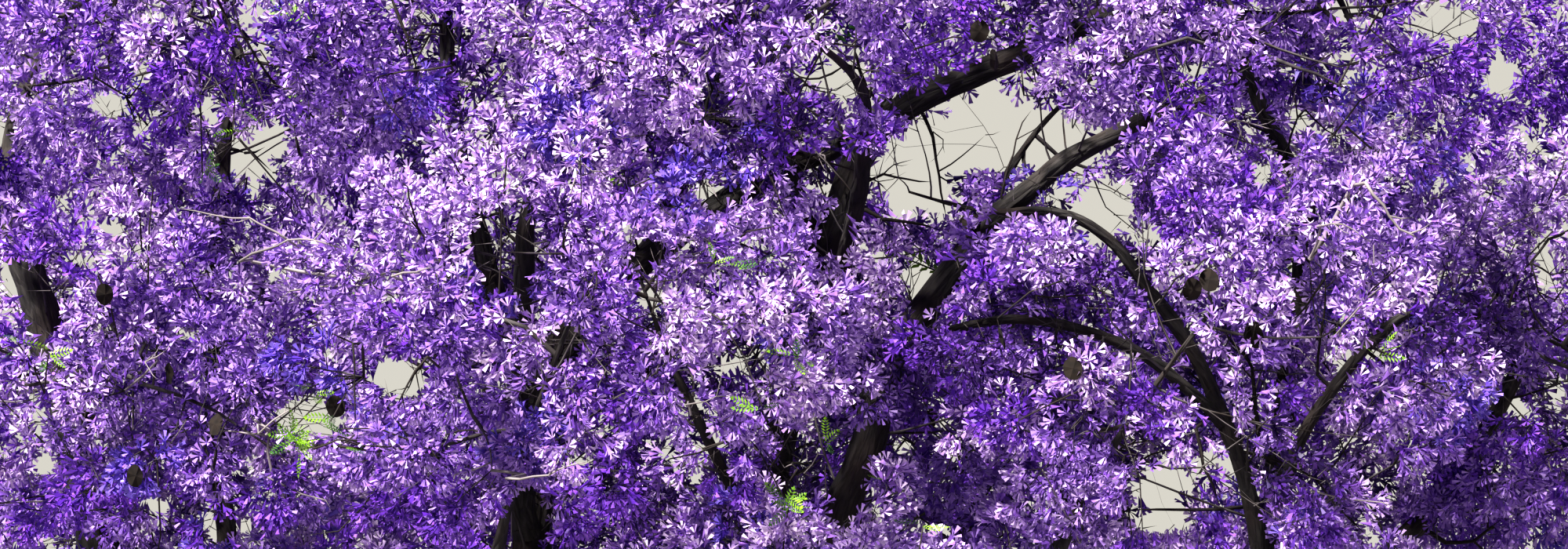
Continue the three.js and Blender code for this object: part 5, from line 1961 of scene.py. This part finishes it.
class JACARANDA_OT_twigs(bpy.types.Operator):
    """Twigs, the stalks of the sprays, and bare twigs"""

    bl_idname = "jacaranda.twigs"
    bl_label = "Twigs"

    def execute(self, context):
        settings = context.scene.jacaranda
        foliage = tree().foliage
        brown, pale = settings.twig_brown, settings.twig_pale
        for name, twigs, sides, near, far, share in (
            ("stalks", foliage.stalks, 3, brown, pale, 0.5),
            ("twigs", foliage.twigs, 6, brown, pale, 0.4),
            ("bare_twigs", foliage.bare, 5, brown, brown, 0.45),
            # Twigs painted pale as sunlit twigs: painted light.
            ("grey_twigs", foliage.pale, 5, pale, pale, 1.7),
        ):
            points, faces = twigs.mesh(sides)
            mesh = plain_mesh(name, points * METRE, faces)
            mesh.shade_smooth()
            material = mottled_material(name, near, [share * c for c in far], scale=8.0, roughness=0.85)
            place(mesh, "bark", MASS_NODES, material)
        return {"FINISHED"}


class JACARANDA_OT_pods(bpy.types.Operator):
    """Old brown pods"""

    bl_idname = "jacaranda.pods"
    bl_label = "Pods"

    def execute(self, context):
        settings = context.scene.jacaranda
        brown = settings.pod_brown
        main = mottled_material("pod", brown, [1.7 * c for c in brown], scale=60.0, roughness=0.95)
        part = mottled_material("pod_stalk", settings.twig_brown, brown, scale=30.0, roughness=0.8)
        mesh = scatter("pods", pod_mesh(), np.array(tree().foliage.pods), main, part)
        place(mesh, "foliage", MASS_NODES)
        return {"FINISHED"}


class JACARANDA_OT_leaves(bpy.types.Operator):
    """Feathery young leaves"""

    bl_idname = "jacaranda.leaves"
    bl_label = "Leaves"

    def execute(self, context):
        settings = context.scene.jacaranda
        main = mottled_material("leaf", settings.leaf_light, settings.leaf_dark, scale=7.0, roughness=0.5)
        brown = settings.twig_brown
        part = mottled_material("leaf_stalk", settings.leaf_dark, brown, scale=30.0, roughness=0.6)
        mesh = scatter("leaves", leaf_mesh(), np.array(tree().foliage.leaves), main, part)
        place(mesh, "foliage", MASS_NODES)
        return {"FINISHED"}


def leaf_mesh():
    """A feathery leaf: slim leaflets in pairs on a curved stalk. It reaches along +Z."""
    points, faces, parts = [], [], []

    def leaflet(root, tip, side):
        """One flat leaflet of four corners."""
        middle = root + (tip - root) * 0.45
        first = len(points)
        points.extend([root, middle - side, tip, middle + side])
        faces.append((first, first + 1, first + 2, first + 3))
        parts.append(False)

    shares = np.linspace(0, 1, LEAF_PAIRS + 1)
    spots = [np.array((0, LEAF_CURVE * LEAF_LENGTH * t * t, LEAF_LENGTH * t)) for t in shares]
    for i in range(LEAF_PAIRS):
        first = len(points)
        points.extend([spots[i] - (0.9, 0, 0), spots[i] + (0.9, 0, 0), spots[i + 1] + (0.7, 0, 0)])
        faces.append((first, first + 1, first + 2))
        parts.append(True)
        reach = PINNA_LENGTH * math.sin(math.pi * (0.16 + 0.72 * i / (LEAF_PAIRS - 1))) ** 0.8
        for side in (-1, 1):
            out = unit(np.array((side, 0.25, 0.55)))
            leaflet(spots[i + 1], spots[i + 1] + out * reach, np.array((0, 0.4, PINNA_WIDTH / 2)))
    leaflet(spots[-1], spots[-1] + np.array((0, 2, PINNA_LENGTH * 0.6)), np.array((PINNA_WIDTH / 2, 0, 0)))
    return part_mesh("leaf", np.array(points) * METRE, faces, parts)


def pod_mesh():
    """A flat round pod with a wavy rim on a short stalk. It hangs along +Z."""
    middle = POD_STALK + POD_HALF_HEIGHT
    points = [(0, POD_HALF_THICKNESS, middle), (0, -POD_HALF_THICKNESS, middle)]
    faces, parts = [], []
    for k in range(POD_RIM):
        turn = FULL_TURN * k / POD_RIM
        wave = 1 + POD_WAVE * math.cos(5 * turn)
        rise = middle - POD_HALF_HEIGHT * wave * math.cos(turn)
        points.append((POD_HALF_WIDTH * wave * math.sin(turn), POD_TWIST * math.sin(4 * turn), rise))
        here, there = 2 + k, 2 + (k + 1) % POD_RIM
        faces += [(0, here, there), (1, there, here)]
        parts += [False, False]
    first = len(points)
    points += [(1.6, 0, 0), (-0.8, 1.4, 0), (-0.8, -1.4, 0), (0, 0, POD_STALK + 4)]
    faces += [(first, first + 1, first + 3), (first + 1, first + 2, first + 3), (first + 2, first, first + 3)]
    parts += [True, True, True]
    return part_mesh("pod", np.array(points) * METRE, faces, parts)


# The stage: the floor's size and colour, the world's light and what shows behind, the sun and the camera.
FLOOR_RADIUS = 60
FLOOR_SIDES = 96
FLOOR_HEIGHT = -0.002
FLOOR_COLOUR = (0.22, 0.215, 0.20, 1)
WORLD_LIGHT = (0.085, 0.088, 0.13, 1)
BACKGROUND = (0.60, 0.58, 0.52, 1)
SUN_STRENGTH = 10.8
SUN_ANGLE = math.radians(4)
SUN_COLOUR = (1.0, 0.97, 0.92)
SUN_WAY = (0.45, 0.62, -1.0)
SENSOR = 36
FRAME_WIDTH = 4.6
FAR_CLIP = 1000


class JACARANDA_OT_stage(bpy.types.Operator):
    """Pale floor, soft light and the camera at the tree's viewing angle"""

    bl_idname = "jacaranda.stage"
    bl_label = "Stage"

    def execute(self, context):
        scene = context.scene
        bpy.ops.mesh.primitive_circle_add(
            vertices=FLOOR_SIDES, radius=FLOOR_RADIUS, fill_type="NGON", location=(0, 0, FLOOR_HEIGHT),
        )
        floor = context.object
        floor.name = "floor"
        floor.data.transform(floor.matrix_world)
        floor.matrix_world.identity()
        material, _, shader = new_material("floor", roughness=0.9)
        shader.inputs["Base Color"].default_value = FLOOR_COLOUR
        floor.data.materials.append(material)
        world = bpy.data.worlds.new("world")
        world.use_nodes = True
        graph = Graph(world.node_tree)
        background = world.node_tree.nodes["Background"]
        seen = graph.out("ShaderNodeLightPath", "Is Camera Ray")
        tone = graph.blend(seen, WORLD_LIGHT, BACKGROUND)
        world.node_tree.links.new(tone.socket, background.inputs["Color"])
        background.inputs["Strength"].default_value = 1.0
        scene.world = world
        scene.view_settings.view_transform = "Standard"
        scene.view_settings.look = "Medium High Contrast"
        scene.view_settings.exposure = 0.0
        sun = bpy.data.lights.new("sun", "SUN")
        sun.energy = SUN_STRENGTH
        sun.angle = SUN_ANGLE
        sun.color = SUN_COLOUR
        lamp = bpy.data.objects.new("sun", sun)
        lamp.rotation_euler = Vector(SUN_WAY).to_track_quat("-Z", "Y").to_euler()
        scene.collection.objects.link(lamp)
        camera = bpy.data.cameras.new("camera")
        camera.sensor_width = SENSOR
        camera.lens = SENSOR * VIEW_DISTANCE * METRE / FRAME_WIDTH
        camera.clip_end = FAR_CLIP
        eye = bpy.data.objects.new("camera", camera)
        eye.location = (0, -VIEW_DISTANCE * METRE, VIEW_HEIGHT * METRE)
        eye.rotation_euler = (math.pi / 2, 0, 0)
        scene.collection.objects.link(eye)
        scene.camera = eye
        return {"FINISHED"}


class JACARANDA_PT_panel(bpy.types.Panel):
    """Sizes, colours and pieces of the tree"""

    bl_idname = "JACARANDA_PT_panel"
    bl_label = "Jacaranda tree"
    bl_space_type = "VIEW_3D"
    bl_region_type = "UI"
    bl_category = "Jacaranda"

    def draw(self, context):
        settings = context.scene.jacaranda
        for name in JacarandaSettings.__annotations__:
            self.layout.prop(settings, name)
        for operator in OPERATORS:
            self.layout.operator(operator.bl_idname)


OPERATORS = (
    JACARANDA_OT_stage, JACARANDA_OT_trunk, JACARANDA_OT_boughs, JACARANDA_OT_twigs, JACARANDA_OT_leaves,
    JACARANDA_OT_pods, JACARANDA_OT_blossom,
)
CLASSES = (JacarandaSettings, *OPERATORS, JACARANDA_PT_panel)


def register():
    """Adds the settings, the operators and the panel."""
    for cls in CLASSES:
        bpy.utils.register_class(cls)
    bpy.types.Scene.jacaranda = PointerProperty(type=JacarandaSettings)


def unregister():
    """Takes them out again."""
    del bpy.types.Scene.jacaranda
    for cls in reversed(CLASSES):
        bpy.utils.unregister_class(cls)


def main():
    """Makes the stage and every piece."""
    register()
    bpy.ops.jacaranda.stage()
    bpy.ops.jacaranda.trunk()
    bpy.ops.jacaranda.boughs()
    bpy.ops.jacaranda.twigs()
    bpy.ops.jacaranda.leaves()
    bpy.ops.jacaranda.pods()
    bpy.ops.jacaranda.blossom()
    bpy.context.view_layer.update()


if __name__ == "__main__":
    main()
